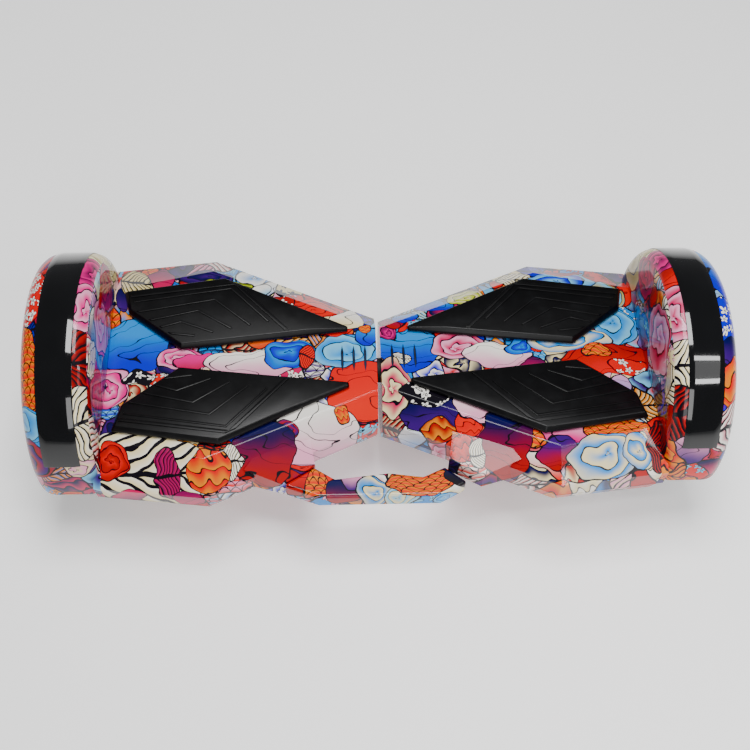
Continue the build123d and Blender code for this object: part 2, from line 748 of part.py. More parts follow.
def wheel_bearings():
    """Two ball bearings, drawn as plain rings."""
    x0, x1 = TYRE_X
    end = x1 - HUB_DISC
    inner = AXLE_R + FIT
    return [
        ring((x0, x0 + BEARING_WIDTH), inner, BEARING_R),
        ring((end - BEARING_WIDTH, end), inner, BEARING_R),
    ]


def tyre():
    """Solid rubber tyre with a crowned tread."""
    x0, x1 = TYRE_X
    face = make_face(
        Polyline((x0, 0, HUB_R), (x1, 0, HUB_R), (x1, 0, TYRE_R), (x0, 0, TYRE_R), close=True)
    )
    corners = face.vertices().group_by(Axis.Z)[-1]
    face = fillet(corners, TREAD_ROUND)
    return Pos(0, 0, AXLE_Z) * revolve(face, Axis.X, 360)


# ---------------------------------------------------------------- electrics
def battery_pack():
    """Twenty cylindrical cells in a shrink-wrapped case, lying across the left half."""
    pitch = 2 * CELL_R
    rise = pitch * sqrt(0.75)
    length = max(CELL_ROWS) * pitch + 2 * BATTERY_WALL
    tall = pitch + rise * (len(CELL_ROWS) - 1) + 2 * BATTERY_WALL
    half = CELL_LENGTH / 2 + BATTERY_WALL
    y = (BATTERY_Y - half, BATTERY_Y + half)
    case = box((BATTERY_X, BATTERY_X + length), y, (TRAY_TOP, TRAY_TOP + tall))
    return fillet(case.edges().filter_by(Axis.Y), CELL_R * 0.8)


def sensor_board():
    """Gyroscope board with four light gates under the pad posts."""
    z = (SENSOR_Z, SENSOR_Z + BOARD_THICK)
    board = box(SENSOR_X, (-SENSOR_HALF, SENSOR_HALF), z)
    for x, y in both_ways(POST_POINTS):
        gate_z = (z[1], POST_END_Z - PAD_TRAVEL - LOOSE)
        board += box((x - 6, x + 6), (y - 4, y + 4), gate_z)
    return board


def main_board():
    """Motor control board on its heat sink, in the right half."""
    z0 = TRAY_TOP
    sink = box(MAIN_X, (-MAIN_HALF, MAIN_HALF), (z0, z0 + MAIN_LIFT))
    board_z = (z0 + MAIN_LIFT, z0 + MAIN_LIFT + BOARD_THICK)
    board = sink + box(MAIN_X, (-MAIN_HALF - 2, MAIN_HALF + 2), board_z)
    for x in CAPACITOR_X:
        can_z = (board_z[1], board_z[1] + CAPACITOR_TALL)
        board += post(x, MAIN_HALF - 12, can_z, CAPACITOR_R)
    length, width, tall = SWITCH_STRIP_SIZE
    for x in SWITCH_STRIP_X:
        edge = 4 - MAIN_HALF
        board += box((x, x + length), (edge, edge + width), (board_z[1], board_z[1] + tall))
    return board


def speaker():
    """Small round speaker on the right tray, facing down to the vents."""
    x, y = SPEAKER_AT
    low, high = [TRAY_TOP + tall for tall in SPEAKER_TALL]
    return post(x, y, (TRAY_TOP, low), SPEAKER_R) + post(x, y, (low, high), SPEAKER_CAN_R)


def charge_socket():
    """Round charging socket in a half's underside, opening downwards."""
    x, y = SOCKET_AT
    z0 = FLOOR_Z
    body = post(x, y, (z0, z0 + SOCKET_TALL), SOCKET_R)
    body += post(x, y, (z0 + WALL, z0 + WALL + 2), FLANGE_R)
    body -= post(x, y, (z0 - 1, z0 + SOCKET_TALL - 4), SOCKET_BORE_R)
    for i in range(3):
        angle = radians(90 + 120 * i)
        pin_x = x + SOCKET_PIN_SPREAD * cos(angle)
        pin_y = y + SOCKET_PIN_SPREAD * sin(angle)
        body += post(pin_x, pin_y, (z0 + 3, z0 + SOCKET_TALL - 3), SOCKET_PIN_R)
    return body


def cap_hinge_y():
    """Line of the charging cap's hinge."""
    return SOCKET_AT[1] + CAP_R + CAP_HINGE_R


def charge_cap():
    """Rubber cap over the charging socket, on a live hinge at its outer edge."""
    x, y = SOCKET_AT
    z = (FLOOR_Z - LOOSE - CAP_THICK, FLOOR_Z - LOOSE)
    cap = post(x, y, z, CAP_R)
    cap += box((x - 5, x + 5), (y, cap_hinge_y()), z)
    middle = (z[0] + z[1]) / 2
    return cap + rod((x - 5, x + 5), CAP_THICK / 2, cap_hinge_y(), middle)


def power_button():
    """Push button in a half's underside."""
    x, y = BUTTON_AT
    cap = post(x, y, (FLOOR_Z - BUTTON_PROUD, FLOOR_Z + WALL + 1), BUTTON_R)
    return cap + post(x, y, (FLOOR_Z + WALL + LOOSE, FLOOR_Z + WALL + 2), BUTTON_FLANGE_R)


def power_switch():
    """Tact switch above the power button, held by a clip on the lower shell."""
    x, y = BUTTON_AT
    z0 = FLOOR_Z + WALL + 2 + BUTTON_TRAVEL + LOOSE
    switch = post(x, y, (z0, z0 + SWITCH_TALL), SWITCH_R)
    for side in (1, -1):
        wide = BUTTON_FLANGE_R + 2
        inner = side * (BUTTON_FLANGE_R + LOOSE)
        outer = side * wide
        leg_x = (x + min(inner, outer), x + max(inner, outer))
        switch += box(leg_x, (y - 3, y + 3), (FLOOR_Z + WALL, z0 + 3))
        bridge_x = (x + min(0, outer), x + max(0, outer))
        switch += box(bridge_x, (y - 3, y + 3), (z0, z0 + 3))
    return switch


# ---------------------------------------------------------------- output
def save(node, shape):
    """Writes one node's solids to its STEP file."""
    shapes = shape if isinstance(shape, list) else [shape]
    solids = [solid for item in shapes for solid in item.solids()]
    if len(solids) == 1:
        export_step(solids[0], f"parts/{node}.step")
    else:
        export_step(Compound(children=solids), f"parts/{node}.step")


def placed(shape, side):
    """A +X sub-part put on the left or right half."""
    if isinstance(shape, list):
        return [placed(item, side) for item in shape]
    if side == "left":
        return mirror(shape, about=Plane.YZ)
    return shape.rotate(AXLE_LINE, -REST_TWIST)


def save_halves():
    """Sub-parts that both halves share."""
    shared = {
        "shell_screws": shell_screws(),
        "rear_pad": rear_pad(),
        "front_pad": front_rear(rear_pad()),
        "fender_strip": fender_strip(),
        "indicator_lens": indicator_lens(),
        "sensor_board": sensor_board(),
        "axle_clamp": axle_clamp(),
        "clamp_bolts": clamp_bolts(),
        "wheel_axle": wheel_axle(),
        "motor_stator": motor_stator(),
        "stator_windings": stator_windings(),
        "rotor_magnets": rotor_magnets(),
        "motor_hub": motor_hub(),
        "hub_cover": hub_cover(),
        "wheel_bearings": wheel_bearings(),
        "tyre": tyre(),
    }
    for name, shape in shared.items():
        for side in ("left", "right"):
            save(f"{name}_{side}", placed(shape, side))


def save_shells():
    """Casings, with what differs between the halves."""
    upper = top_shell()
    left = placed(upper, "left") - tenon(-FIT)
    for x, y in handle_screw_places():
        left -= post(x, y, (PARTING_Z, HANDLE_Z[0]), SCREW_HEAD_R + FIT)
        left -= post(x, y, (PARTING_Z, AXLE_Z - 3), HANDLE_SCREW_R)
    save("top_shell_left", left)
    save("top_shell_right", placed(upper, "right"))
    lower = bottom_shell()
    save("bottom_shell_left", placed(lower, "left"))
    lower -= post(*SOCKET_AT, (FLOOR_Z - 1, FLOOR_Z + WALL + 1), SOCKET_R)
    lower -= post(*BUTTON_AT, (FLOOR_Z - 1, FLOOR_Z + WALL + 1), BUTTON_R + LOOSE)
    save("bottom_shell_right", placed(lower, "right"))


def save_pivot():
    """Frames and the pieces of the pivot."""
    save("frame_left", placed(half_frame(TUBE_R), "left"))
    save("frame_right", placed(half_frame(BUSH_R) - stop_window(), "right"))
    save("pivot_tube", pivot_tube())
    save("stop_pin", stop_pin())
    save("pivot_collar", pivot_collar())
    save("pivot_bushes", placed(pivot_bushes(), "right"))
    save("dust_sleeve", dust_sleeve())


def save_singles():
    """Handle and electrics."""
    save("carry_handle", carry_handle())
    save("handle_screws", handle_screws())
    save("battery_pack", placed(battery_pack(), "left"))
    save("main_board", placed(main_board(), "right"))
    save("speaker", placed(speaker(), "right"))
    save("charge_socket", placed(charge_socket(), "right"))
    save("charge_cap", placed(charge_cap(), "right"))
    save("power_button", placed(power_button(), "right"))
    save("power_switch", placed(power_switch(), "right"))


save_shells()
save_pivot()
save_halves()
save_singles()
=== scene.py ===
"""Looks of a self-balancing board: printed shells, rubber foot pads, treaded tyres and hub wheels.

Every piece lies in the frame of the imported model, in metres. +X runs along the board, +Y is its
rear and -Y its front, where the carrying handle is, and +Z is up.
"""

import logging
import math
from collections.abc import Callable
from dataclasses import dataclass, field
from enum import Enum
from typing import Protocol

import bpy
from mathutils import Matrix, Vector


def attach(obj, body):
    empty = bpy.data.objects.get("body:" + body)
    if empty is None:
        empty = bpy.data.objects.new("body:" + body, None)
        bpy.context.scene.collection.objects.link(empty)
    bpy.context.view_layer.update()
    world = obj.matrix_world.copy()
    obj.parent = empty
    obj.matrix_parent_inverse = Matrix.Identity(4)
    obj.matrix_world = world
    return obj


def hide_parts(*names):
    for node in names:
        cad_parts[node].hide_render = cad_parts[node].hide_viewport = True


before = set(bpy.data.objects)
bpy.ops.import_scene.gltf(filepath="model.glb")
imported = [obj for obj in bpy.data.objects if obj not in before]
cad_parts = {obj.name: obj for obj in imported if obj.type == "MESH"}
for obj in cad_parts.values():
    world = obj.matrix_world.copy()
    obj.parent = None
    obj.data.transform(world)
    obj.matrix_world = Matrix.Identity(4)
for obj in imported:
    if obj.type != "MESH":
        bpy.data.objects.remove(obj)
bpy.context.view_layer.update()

LOG = logging.getLogger("board")
MM = 0.001
FULL_TURN = 2 * math.pi
REST_TWIST = math.radians(5.0)
AXLE_Z = 0.1
DECK_Z = 0.122
FENDER_X = 0.257
FENDER_ARC_Z = 0.095
FENDER_R = 0.119
INK_SPREAD = 1.5
INK_STRENGTH = 0.86
INK_VIVID_DROP = 0.3
X_AXIS = (1.0, 0.0, 0.0)
Number = float | int
Point = tuple[float, float, float]
Range = tuple[float, float]


class Side(Enum):
    """Half of the board."""

    LEFT = "left"
    RIGHT = "right"


class End(Enum):
    """Which of a half's two foot pads."""

    REAR = "rear"
    FRONT = "front"


def linear(code: int) -> tuple[float, float, float, float]:
    """Turns a screen colour into a linear one.

    Args:
        code: The colour as 0xRRGGBB.

    Returns:
        Linear red, green, blue and an alpha of 1.
    """
    parts = [((code >> shift) & 255) / 255 for shift in (16, 8, 0)]
    red, green, blue = [p / 12.92 if p <= 0.04045 else ((p + 0.055) / 1.055) ** 2.4 for p in parts]
    return (red, green, blue, 1.0)


# ------------------------------------------------------------------ shader maths
class Value:
    """A socket's value, with arithmetic that adds Math nodes."""

    def __init__(self, graph: "Graph", socket: bpy.types.NodeSocket) -> None:
        """Wraps an output socket of a graph."""
        self.graph = graph
        self.socket = socket

    def maths(self, operation: str, *others: "Value | Number") -> "Value":
        """Adds a Math node with this value first.

        Args:
            operation: The Math node's operation.
            others: Its other inputs, in order.

        Returns:
            The node's value.
        """
        inputs = dict(enumerate((self, *others)))
        return self.graph.node("ShaderNodeMath", {"operation": operation}, inputs)

    def __add__(self, other: "Value | Number") -> "Value":
        """Sum."""
        return self.maths("ADD", other)

    def __radd__(self, other: Number) -> "Value":
        """Reflected sum."""
        return self.maths("ADD", other)

    def __sub__(self, other: "Value | Number") -> "Value":
        """Difference."""
        return self.maths("SUBTRACT", other)

    def __rsub__(self, other: Number) -> "Value":
        """Reflected difference."""
        return self.graph.node("ShaderNodeMath", {"operation": "SUBTRACT"}, {0: other, 1: self})

    def __mul__(self, other: "Value | Number") -> "Value":
        """Product."""
        return self.maths("MULTIPLY", other)

    def __rmul__(self, other: Number) -> "Value":
        """Reflected product."""
        return self.maths("MULTIPLY", other)

    def __truediv__(self, other: "Value | Number") -> "Value":
        """Quotient."""
        return self.maths("DIVIDE", other)

    def __rtruediv__(self, other: Number) -> "Value":
        """Reflected quotient."""
        return self.graph.node("ShaderNodeMath", {"operation": "DIVIDE"}, {0: other, 1: self})

    def __lt__(self, other: "Value | Number") -> "Value":
        """1 where this value is the smaller, else 0."""
        return self.maths("LESS_THAN", other)

    def __gt__(self, other: "Value | Number") -> "Value":
        """1 where this value is the larger, else 0."""
        return self.maths("GREATER_THAN", other)

    def __abs__(self) -> "Value":
        """Size without its sign."""
        return self.maths("ABSOLUTE")

    def sine(self) -> "Value":
        """Sine, in radians."""
        return self.maths("SINE")

    def cosine(self) -> "Value":
        """Cosine, in radians."""
        return self.maths("COSINE")

    def fraction(self) -> "Value":
        """Part after the whole number."""
        return self.maths("FRACT")

    def whole(self) -> "Value":
        """Whole number below."""
        return self.maths("FLOOR")

    def sign(self) -> "Value":
        """-1, 0 or 1."""
        return self.maths("SIGN")

    def most(self, other: "Value | Number") -> "Value":
        """Larger of two values."""
        return self.maths("MAXIMUM", other)

    def near(self, other: "Value | Number", within: Number) -> "Value":
        """1 where this value is within a distance of another, else 0."""
        return self.maths("COMPARE", other, within)

    def ramp(self, low: Number, high: Number) -> "Value":
        """0 below low and 1 above high, with a smooth rise between them."""
        settings = {"interpolation_type": "SMOOTHSTEP"}
        return self.graph.node("ShaderNodeMapRange", settings, {0: self, 1: low, 2: high})

    def hypot(self, other: "Value") -> "Value":
        """Length of the vector that has this value and another as its parts."""
        return (self * self + other * other).maths("SQRT")


class Graph:
    """Node tree of one material."""

    def __init__(self, name: str) -> None:
        """Makes an empty material with an output and a Principled shader.

        Args:
            name: The material's name.
        """
        self.material = bpy.data.materials.new(name)
        self.material.use_nodes = True
        self.tree = self.material.node_tree
        self.tree.nodes.clear()
        self.shader = self.tree.nodes.new("ShaderNodeBsdfPrincipled")
        output = self.tree.nodes.new("ShaderNodeOutputMaterial")
        self.tree.links.new(self.shader.outputs[0], output.inputs[0])

    def plug(self, socket: bpy.types.NodeSocket, value: object) -> None:
        """Links a value to a socket, or sets the socket to a constant.

        Args:
            socket: The input socket.
            value: A value or a constant.
        """
        if isinstance(value, Value):
            self.tree.links.new(value.socket, socket)
        else:
            socket.default_value = value

    def node(
        self, kind: str, settings: dict | None = None, inputs: dict | None = None, out: int | str = 0
    ) -> Value:
        """Adds a node.

        Args:
            kind: The node's type.
            settings: Its properties, set first. "stops" holds a colour ramp's stops.
            inputs: Values or constants by the inputs' names or places.
            out: The output to return.

        Returns:
            The chosen output.
        """
        node = self.tree.nodes.new(kind)
        for key, value in (settings or {}).items():
            if key == "stops":
                self.set_stops(node.color_ramp, value)
            else:
                setattr(node, key, value)
        for key, value in (inputs or {}).items():
            self.plug(node.inputs[key], value)
        return Value(self, node.outputs[out])

    def also(self, value: Value, out: str) -> Value:
        """Another output of the node that a value comes from."""
        return Value(self, value.socket.node.outputs[out])

    def set_stops(self, ramp: bpy.types.ColorRamp, stops: list) -> None:
        """Gives a colour ramp its stops.

        Args:
            ramp: The ramp.
            stops: A (place, colour) pair for each stop.
        """
        while len(ramp.elements) < len(stops):
            ramp.elements.new(1.0)
        for element, (place, colour) in zip(ramp.elements, stops):
            element.position = place
            element.color = colour

    def set(self, **sockets: object) -> None:
        """Sets or links the Principled shader's inputs, with _ for a space in a name."""
        for name, value in sockets.items():
            self.plug(self.shader.inputs[name.replace("_", " ")], value)

    def place(self) -> Value:
        """Object coordinates."""
        return self.node("ShaderNodeTexCoord", out="Object")

    def vector(self, operation: str, *parts: object, out: int | str = 0) -> Value:
        """Vector Math on vectors or vector values."""
        settings = {"operation": operation}
        return self.node("ShaderNodeVectorMath", settings, dict(enumerate(parts)), out)

    def join(self, x: object, y: object, z: object = 0.0) -> Value:
        """Vector from three values."""
        return self.node("ShaderNodeCombineXYZ", None, {0: x, 1: y, 2: z})

    def apart(self, kind: str, whole: Value) -> tuple[Value, Value, Value]:
        """The three outputs of a node that takes a vector or a colour apart."""
        node = self.node(kind, None, {0: whole}).socket.node
        return tuple(Value(self, socket) for socket in node.outputs)

    def split(self, vector: Value) -> tuple[Value, Value, Value]:
        """The three parts of a vector."""
        return self.apart("ShaderNodeSeparateXYZ", vector)

    def parts(self, colour: Value) -> tuple[Value, Value, Value]:
        """Red, green and blue of a colour."""
        return self.apart("ShaderNodeSeparateColor", colour)

    def from_axle(self, place: Value) -> Value:
        """Distance from the wheels' axle line."""
        y, z = self.split(place)[1:]
        return self.vector("LENGTH", self.join(0.0, y, z - AXLE_Z), out="Value")

    def mix(self, factor: object, first: object, second: object) -> Value:
        """Colour between two colours."""
        settings = {"data_type": "RGBA"}
        return self.node("ShaderNodeMix", settings, {0: factor, 6: first, 7: second}, 2)

    def choose(self, factor: object, first: object, second: object) -> Value:
        """Vector between two vectors."""
        settings = {"data_type": "VECTOR"}
        return self.node("ShaderNodeMix", settings, {0: factor, 4: first, 5: second}, 1)

    def between(self, factor: object, first: object, second: object) -> Value:
        """Number between two numbers."""
        settings = {"data_type": "FLOAT"}
        return self.node("ShaderNodeMix", settings, {0: factor, 2: first, 3: second}, 0)

    def noise(self, vector: object, scale: float, detail: float = 3.0, rough: float = 0.5) -> Value:
        """Fractal noise from 0 to 1."""
        inputs = {"Vector": vector, "Scale": scale, "Detail": detail, "Roughness": rough}
        return self.node("ShaderNodeTexNoise", None, inputs)

    def bump(self, height: Value, strength: float, distance: float) -> Value:
        """Normal from a height."""
        inputs = {"Strength": strength, "Distance": distance, "Height": height}
        return self.node("ShaderNodeBump", None, inputs)


# ------------------------------------------------------------------ finishes
@dataclass(frozen=True)
class Finish:
    """A plain finish with mottled colour, uneven gloss and a fine grain."""

    name: str
    dark: int
    light: int
    rough: Range
    metal: float = 0.0
    coat: float = 0.0
    patch_scale: float = 40.0
    grain_scale: float = 900.0
    grain_depth: float = 0.00004
    stretch: Point = (1.0, 1.0, 1.0)

    def build(self) -> bpy.types.Material:
        """Makes the material.

        Returns:
            The material.
        """
        g = Graph(self.name)
        place = g.vector("MULTIPLY", g.place(), self.stretch)
        patches = g.noise(place, self.patch_scale, 4.0, 0.6)
        fine = g.noise(place, self.grain_scale, 2.0)
        scuffs = g.noise(g.vector("MULTIPLY", place, (1.0, 7.0, 3.0)), 130.0, 5.0, 0.7).ramp(0.62, 0.8)
        colour = g.mix(patches.ramp(0.3, 0.7), linear(self.dark), linear(self.light))
        rough = g.between(patches, *self.rough) + fine * 0.06 + scuffs * 0.12
        g.set(Base_Color=colour, Roughness=rough, Metallic=self.metal, Coat_Weight=self.coat)
        g.set(Coat_Roughness=0.08)
        g.set(Normal=g.bump(fine, 0.6, self.grain_depth))
        return g.material


@dataclass(frozen=True)
class Laminate:
    """Stacked sheet iron, with its layers along X."""

    name: str = "stator_iron"
    pitch: float = 0.0012

    def build(self) -> bpy.types.Material:
        """Makes the material.

        Returns:
            The material.
        """
        g = Graph(self.name)
        place = g.place()
        layer = (g.split(place)[0] * (FULL_TURN / self.pitch)).sine()
        spots = g.noise(place, 240.0, 3.0)
        colour = g.mix(spots, linear(0x2E3034), linear(0x6B6F75))
        g.set(Base_Color=colour, Metallic=0.9, Roughness=0.35 + spots * 0.3)
        g.set(Normal=g.bump(layer, 0.5, 0.0002))
        return g.material


@dataclass(frozen=True)
class Winding:
    """Enamelled copper wire, wound side by side, with painted shade in the grooves between the turns and a
    painted highlight along each turn.
    """

    name: str = "copper_winding"
    pitch: float = 0.0009

    def build(self) -> bpy.types.Material:
        """Makes the material.

        Returns:
            The material.
        """
        g = Graph(self.name)
        place = g.place()
        wire = (g.from_axle(place) * (FULL_TURN / self.pitch)).sine()
        spots = g.noise(place, 300.0, 3.0)
        # painted shade and highlight: the colour follows the wire's relief, dark in the grooves between
        # turns and light on their crests
        colour = g.mix(wire.ramp(-1.0, 0.6), linear(0x5A2410), linear(0xC86A2C))
        g.set(Base_Color=colour, Metallic=0.85, Roughness=0.28 + spots * 0.2)
        g.set(Normal=g.bump(wire, 0.8, 0.0003))
        return g.material


@dataclass(frozen=True)
class CircuitBoard:
    """Solder mask with tracks and pads."""

    name: str = "circuit_board"
    track_pitch: float = 0.0016
    pad_reach: float = 0.16

    def build(self) -> bpy.types.Material:
        """Makes the material.

        Returns:
            The material.
        """
        g = Graph(self.name)
        place = g.place()
        cells = {"distance": "CHEBYCHEV", "feature": "F1"}
        grid = g.node("ShaderNodeTexVoronoi", cells, {"Vector": place, "Scale": 160.0})
        tracks = g.noise(g.vector("SNAP", place, (self.track_pitch,) * 3), 320.0, 1.0)
        mask = g.mix(tracks.ramp(0.47, 0.53), linear(0x0B3A1E), linear(0x13562D))
        colour = g.mix(grid < self.pad_reach, mask, linear(0xC9C2A8))
        g.set(Base_Color=colour, Roughness=0.3 + tracks * 0.2, Coat_Weight=0.3)
        g.set(Normal=g.bump(tracks, 0.5, 0.0002))
        return g.material


@dataclass(frozen=True)
class PadRubber:
    """Moulded black rubber with a faint sheen and patches of dust."""

    name: str = "pad_rubber"

    def build(self) -> bpy.types.Material:
        """Makes the material.

        Returns:
            The material.
        """
        g = Graph(self.name)
        place = g.place()
        dust = g.noise(place, 60.0, 6.0, 0.65)
        fine = g.noise(place, 1400.0, 2.0)
        streaks = g.noise(g.vector("MULTIPLY", place, (1.0, 12.0, 1.0)), 70.0, 3.0)
        colour = g.mix(dust.ramp(0.45, 0.8), linear(0x020203), linear(0x090A0C))
        g.set(Base_Color=colour, Roughness=0.24 + dust * 0.16 + streaks * 0.08, Specular_IOR_Level=0.22)
        g.set(Normal=g.bump(fine + streaks * 0.6, 0.35, 0.00005))
        return g.material


@dataclass(frozen=True)
class TyreRubber:
    """Solid tyre rubber, scuffed and dusty on the tread."""

    name: str = "tyre_rubber"
    tread_range: Range = (0.0955, 0.0995)

    def build(self) -> bpy.types.Material:
        """Makes the material.

        Returns:
            The material.
        """
        g = Graph(self.name)
        place = g.place()
        tread = g.from_axle(place).ramp(*self.tread_range)
        dust = g.noise(place, 55.0, 6.0, 0.7)
        fine = g.noise(place, 1100.0, 2.0)
        clean = g.mix(dust, linear(0x0E0F10), linear(0x1B1C1D))
        worn = g.mix(dust.ramp(0.35, 0.75), linear(0x1B1B1C), linear(0x3A3835))
        g.set(Base_Color=g.mix(tread, clean, worn), Roughness=0.55 + dust * 0.25 + tread * 0.12)
        g.set(Normal=g.bump(fine + dust, 0.5, 0.0001))
        return g.material


class Motif(Enum):
    """Kinds of drawing inside a shape of the print."""

    PLAIN = 0
    ROSE = 1
    SCALES = 2
    LEAF = 3
    BLOSSOM = 4
    FLAME = 5
    WAVE = 6


class Ink(Enum):
    """Colours of the print."""

    BLACK = 0x0C0910
    WHITE = 0xF7F4EE
    CREAM = 0xF2E6C2
    KHAKI = 0xB8A974
    PALE_PINK = 0xF4BCD2
    PINK = 0xEE5FA0
    MAGENTA = 0xC8156F
    PLUM = 0x7A1B55
    CRIMSON = 0x9E0F2E
    RED = 0xDE1B14
    ORANGE = 0xF0620F
    AMBER = 0xF7A41C
    LIME = 0xC8D614
    PALE_BLUE = 0x9FD2EE
    SKY = 0x3BA0E2
    COBALT = 0x1148C4
    NAVY = 0x12103F
    PURPLE = 0x3F1166

    def linear(self) -> tuple[float, float, float, float]:
        """The colour as linear values, deepened so that it stays strong under bright lights.

        Returns:
            Linear red, green, blue and an alpha of 1.
        """
        colour = linear(self.value)[:3]
        grey = sum(colour) / 3
        strength = INK_STRENGTH - INK_VIVID_DROP * (max(colour) - min(colour))
        deep = [max(0.0, grey + INK_SPREAD * (part - grey)) * strength for part in colour]
        return (*deep, 1.0)


@dataclass(frozen=True)
class Patch:
    """One shape of the print: an ellipse on the unrolled shell, in millimetres.

    Attributes:
        at: Its middle, along the board and across it.
        reach: Its half sizes.
        motif: What is drawn in it.
        low: Its first colour.
        high: Its second colour.
    """

    at: Range
    reach: Range
    motif: Motif
    low: Ink
    high: Ink

    def size(self) -> float:
        """Mean half size."""
        return (self.reach[0] + self.reach[1]) / 2


def patches(rows: str) -> tuple[Patch, ...]:
    """Reads patches from a table.

    Args:
        rows: Lines of "x y reach_x reach_y MOTIF LOW HIGH".

    Returns:
        The patches, from the back one to the front one.
    """
    made = []
    for row in rows.strip().splitlines():
        x, y, wide, tall, motif, low, high = row.split()
        at, reach = (float(x), float(y)), (float(wide), float(tall))
        made.append(Patch(at, reach, Motif[motif], Ink[low], Ink[high]))
    return tuple(made)


LEFT_PRINT = patches(
    """
    -224 -122 70 46 LEAF WHITE CREAM
    -234 17 34 32 PLAIN COBALT SKY
    -248 72 8 16 PLAIN PURPLE NAVY
    -190 3 24 12 ROSE PINK PALE_PINK
    -170 -2 26 9 PLAIN MAGENTA PINK
    -122 -6 46 17 PLAIN PALE_PINK WHITE
    -86 5 28 16 WAVE SKY COBALT
    -28 8 36 18 WAVE SKY PALE_BLUE
    -69 2 8 14 LEAF RED ORANGE
    -42 34 19 11 PLAIN RED ORANGE
    -30 44 16 14 PLAIN CREAM WHITE
    -9 25 12 11 PLAIN COBALT SKY
    -12 34 8 6 FLAME ORANGE AMBER
    -64 58 34 11 ROSE RED ORANGE
    -92 68 12 7 BLOSSOM CRIMSON WHITE
    -120 80 16 10 PLAIN PALE_BLUE WHITE
    -167 99 28 9 WAVE PURPLE NAVY
    -152 90 30 6 FLAME LIME BLACK
    -199 86 9 8 WAVE COBALT SKY
    -213 96 15 14 PLAIN MAGENTA PLUM
    -238 92 17 16 LEAF KHAKI CREAM
    -252 -28 18 24 ROSE PALE_PINK PINK
    -226 -20 15 9 BLOSSOM BLACK WHITE
    -18 -38 34 34 PLAIN ORANGE RED
    -62 -84 44 34 PLAIN PALE_PINK WHITE
    -90 -80 14 14 ROSE CRIMSON PURPLE
    -36 -64 7 12 FLAME AMBER ORANGE
    -108 -104 30 36 PLAIN CRIMSON NAVY
    -138 -112 10 20 LEAF CREAM WHITE
    -157 -120 19 24 FLAME AMBER RED
    -196 -124 13 30 LEAF MAGENTA PLUM
    -178 -150 18 9 PLAIN MAGENTA PLUM
    -246 -108 20 19 ROSE RED CRIMSON
    -232 -146 18 6 PLAIN PLUM MAGENTA
    -296 98 34 22 WAVE KHAKI CREAM
    -298 54 30 26 ROSE PLUM MAGENTA
    -302 8 32 27 ROSE PINK PALE_PINK
    -266 -12 11 26 PLAIN PURPLE SKY
    -316 34 8 14 PLAIN RED CRIMSON
    -288 -62 30 26 ROSE BLACK CRIMSON
    -286 -106 30 26 LEAF RED WHITE
    -413 92 18 24 WAVE CREAM KHAKI
    -413 48 18 28 ROSE PLUM PINK
    -413 0 18 26 ROSE PINK PALE_PINK
    -413 -52 18 30 LEAF BLACK CRIMSON
    -413 -112 18 34 LEAF WHITE CREAM
    -474 78 34 34 WAVE PURPLE RED
    -474 14 34 34 BLOSSOM RED WHITE
    -474 -60 34 42 SCALES ORANGE AMBER
    -474 -112 34 18 WAVE SKY PALE_BLUE
    -474 -150 34 26 ROSE CRIMSON PURPLE
    """
)

RIGHT_PRINT = patches(
    """
    28 8 32 26 PLAIN COBALT SKY
    8 30 11 10 ROSE PINK PLUM
    21 -1 11 7 LEAF CREAM WHITE
    12 -38 18 36 ROSE MAGENTA CREAM
    50 -66 30 20 PLAIN PURPLE NAVY
    46 -44 30 16 BLOSSOM BLACK WHITE
    54 -86 17 13 FLAME AMBER CRIMSON
    78 -82 11 15 FLAME ORANGE RED
    77 11 27 16 ROSE MAGENTA PALE_PINK
    114 0 35 16 PLAIN PALE_PINK WHITE
    138 11 17 12 WAVE SKY COBALT
    155 11 8 8 LEAF RED ORANGE
    222 -6 44 22 PLAIN RED CRIMSON
    234 36 24 24 WAVE SKY PALE_BLUE
    188 16 44 12 WAVE CREAM SKY
    212 2 15 8 SCALES ORANGE AMBER
    236 -16 18 12 BLOSSOM RED WHITE
    12 43 13 9 PLAIN CRIMSON PLUM
    28 50 17 9 PLAIN COBALT SKY
    60 66 18 9 PLAIN COBALT SKY
    88 75 20 9 ROSE CREAM LIME
    114 87 10 9 PLAIN PALE_BLUE SKY
    125 92 8 9 PLAIN RED CRIMSON
    141 97 18 10 LEAF WHITE CREAM
    186 92 38 12 WAVE PALE_BLUE COBALT
    194 104 24 5 PLAIN CRIMSON PLUM
    232 74 18 20 WAVE KHAKI PALE_BLUE
    92 -54 25 27 PLAIN PALE_PINK WHITE
    160 -90 42 15 PLAIN PINK PALE_PINK
    159 -114 16 20 PLAIN CRIMSON PURPLE
    139 -98 10 9 SCALES ORANGE AMBER
    72 -106 12 14 FLAME CRIMSON ORANGE
    112 -104 26 38 PLAIN CRIMSON NAVY
    90 -112 8 16 LEAF CREAM WHITE
    216 -88 33 15 SCALES ORANGE AMBER
    204 -118 34 26 WAVE SKY CREAM
    236 -112 16 24 WAVE CREAM SKY
    255 -108 11 28 LEAF RED BLACK
    296 92 38 28 WAVE KHAKI CREAM
    314 52 30 24 ROSE PLUM MAGENTA
    266 22 12 30 PLAIN PLUM SKY
    318 20 17 9 PLAIN RED CRIMSON
    306 -22 34 34 ROSE MAGENTA PALE_PINK
    272 -52 11 18 PLAIN BLACK PLUM
    304 -78 24 20 LEAF WHITE CREAM
    284 -110 20 22 PLAIN RED CRIMSON
    413 94 18 26 WAVE CREAM KHAKI
    413 52 18 26 ROSE PLUM PINK
    413 20 18 14 PLAIN RED CRIMSON
    413 -26 18 34 ROSE MAGENTA PALE_PINK
    413 -74 18 22 LEAF WHITE CREAM
    413 -118 18 30 LEAF RED BLACK
    474 92 34 26 ROSE PLUM MAGENTA
    474 36 34 46 PLAIN COBALT SKY
    474 -34 34 28 BLOSSOM COBALT WHITE
    474 -64 34 14 PLAIN PURPLE NAVY
    474 -92 34 24 FLAME AMBER ORANGE
    474 -136 34 28 LEAF MAGENTA WHITE
    """
)

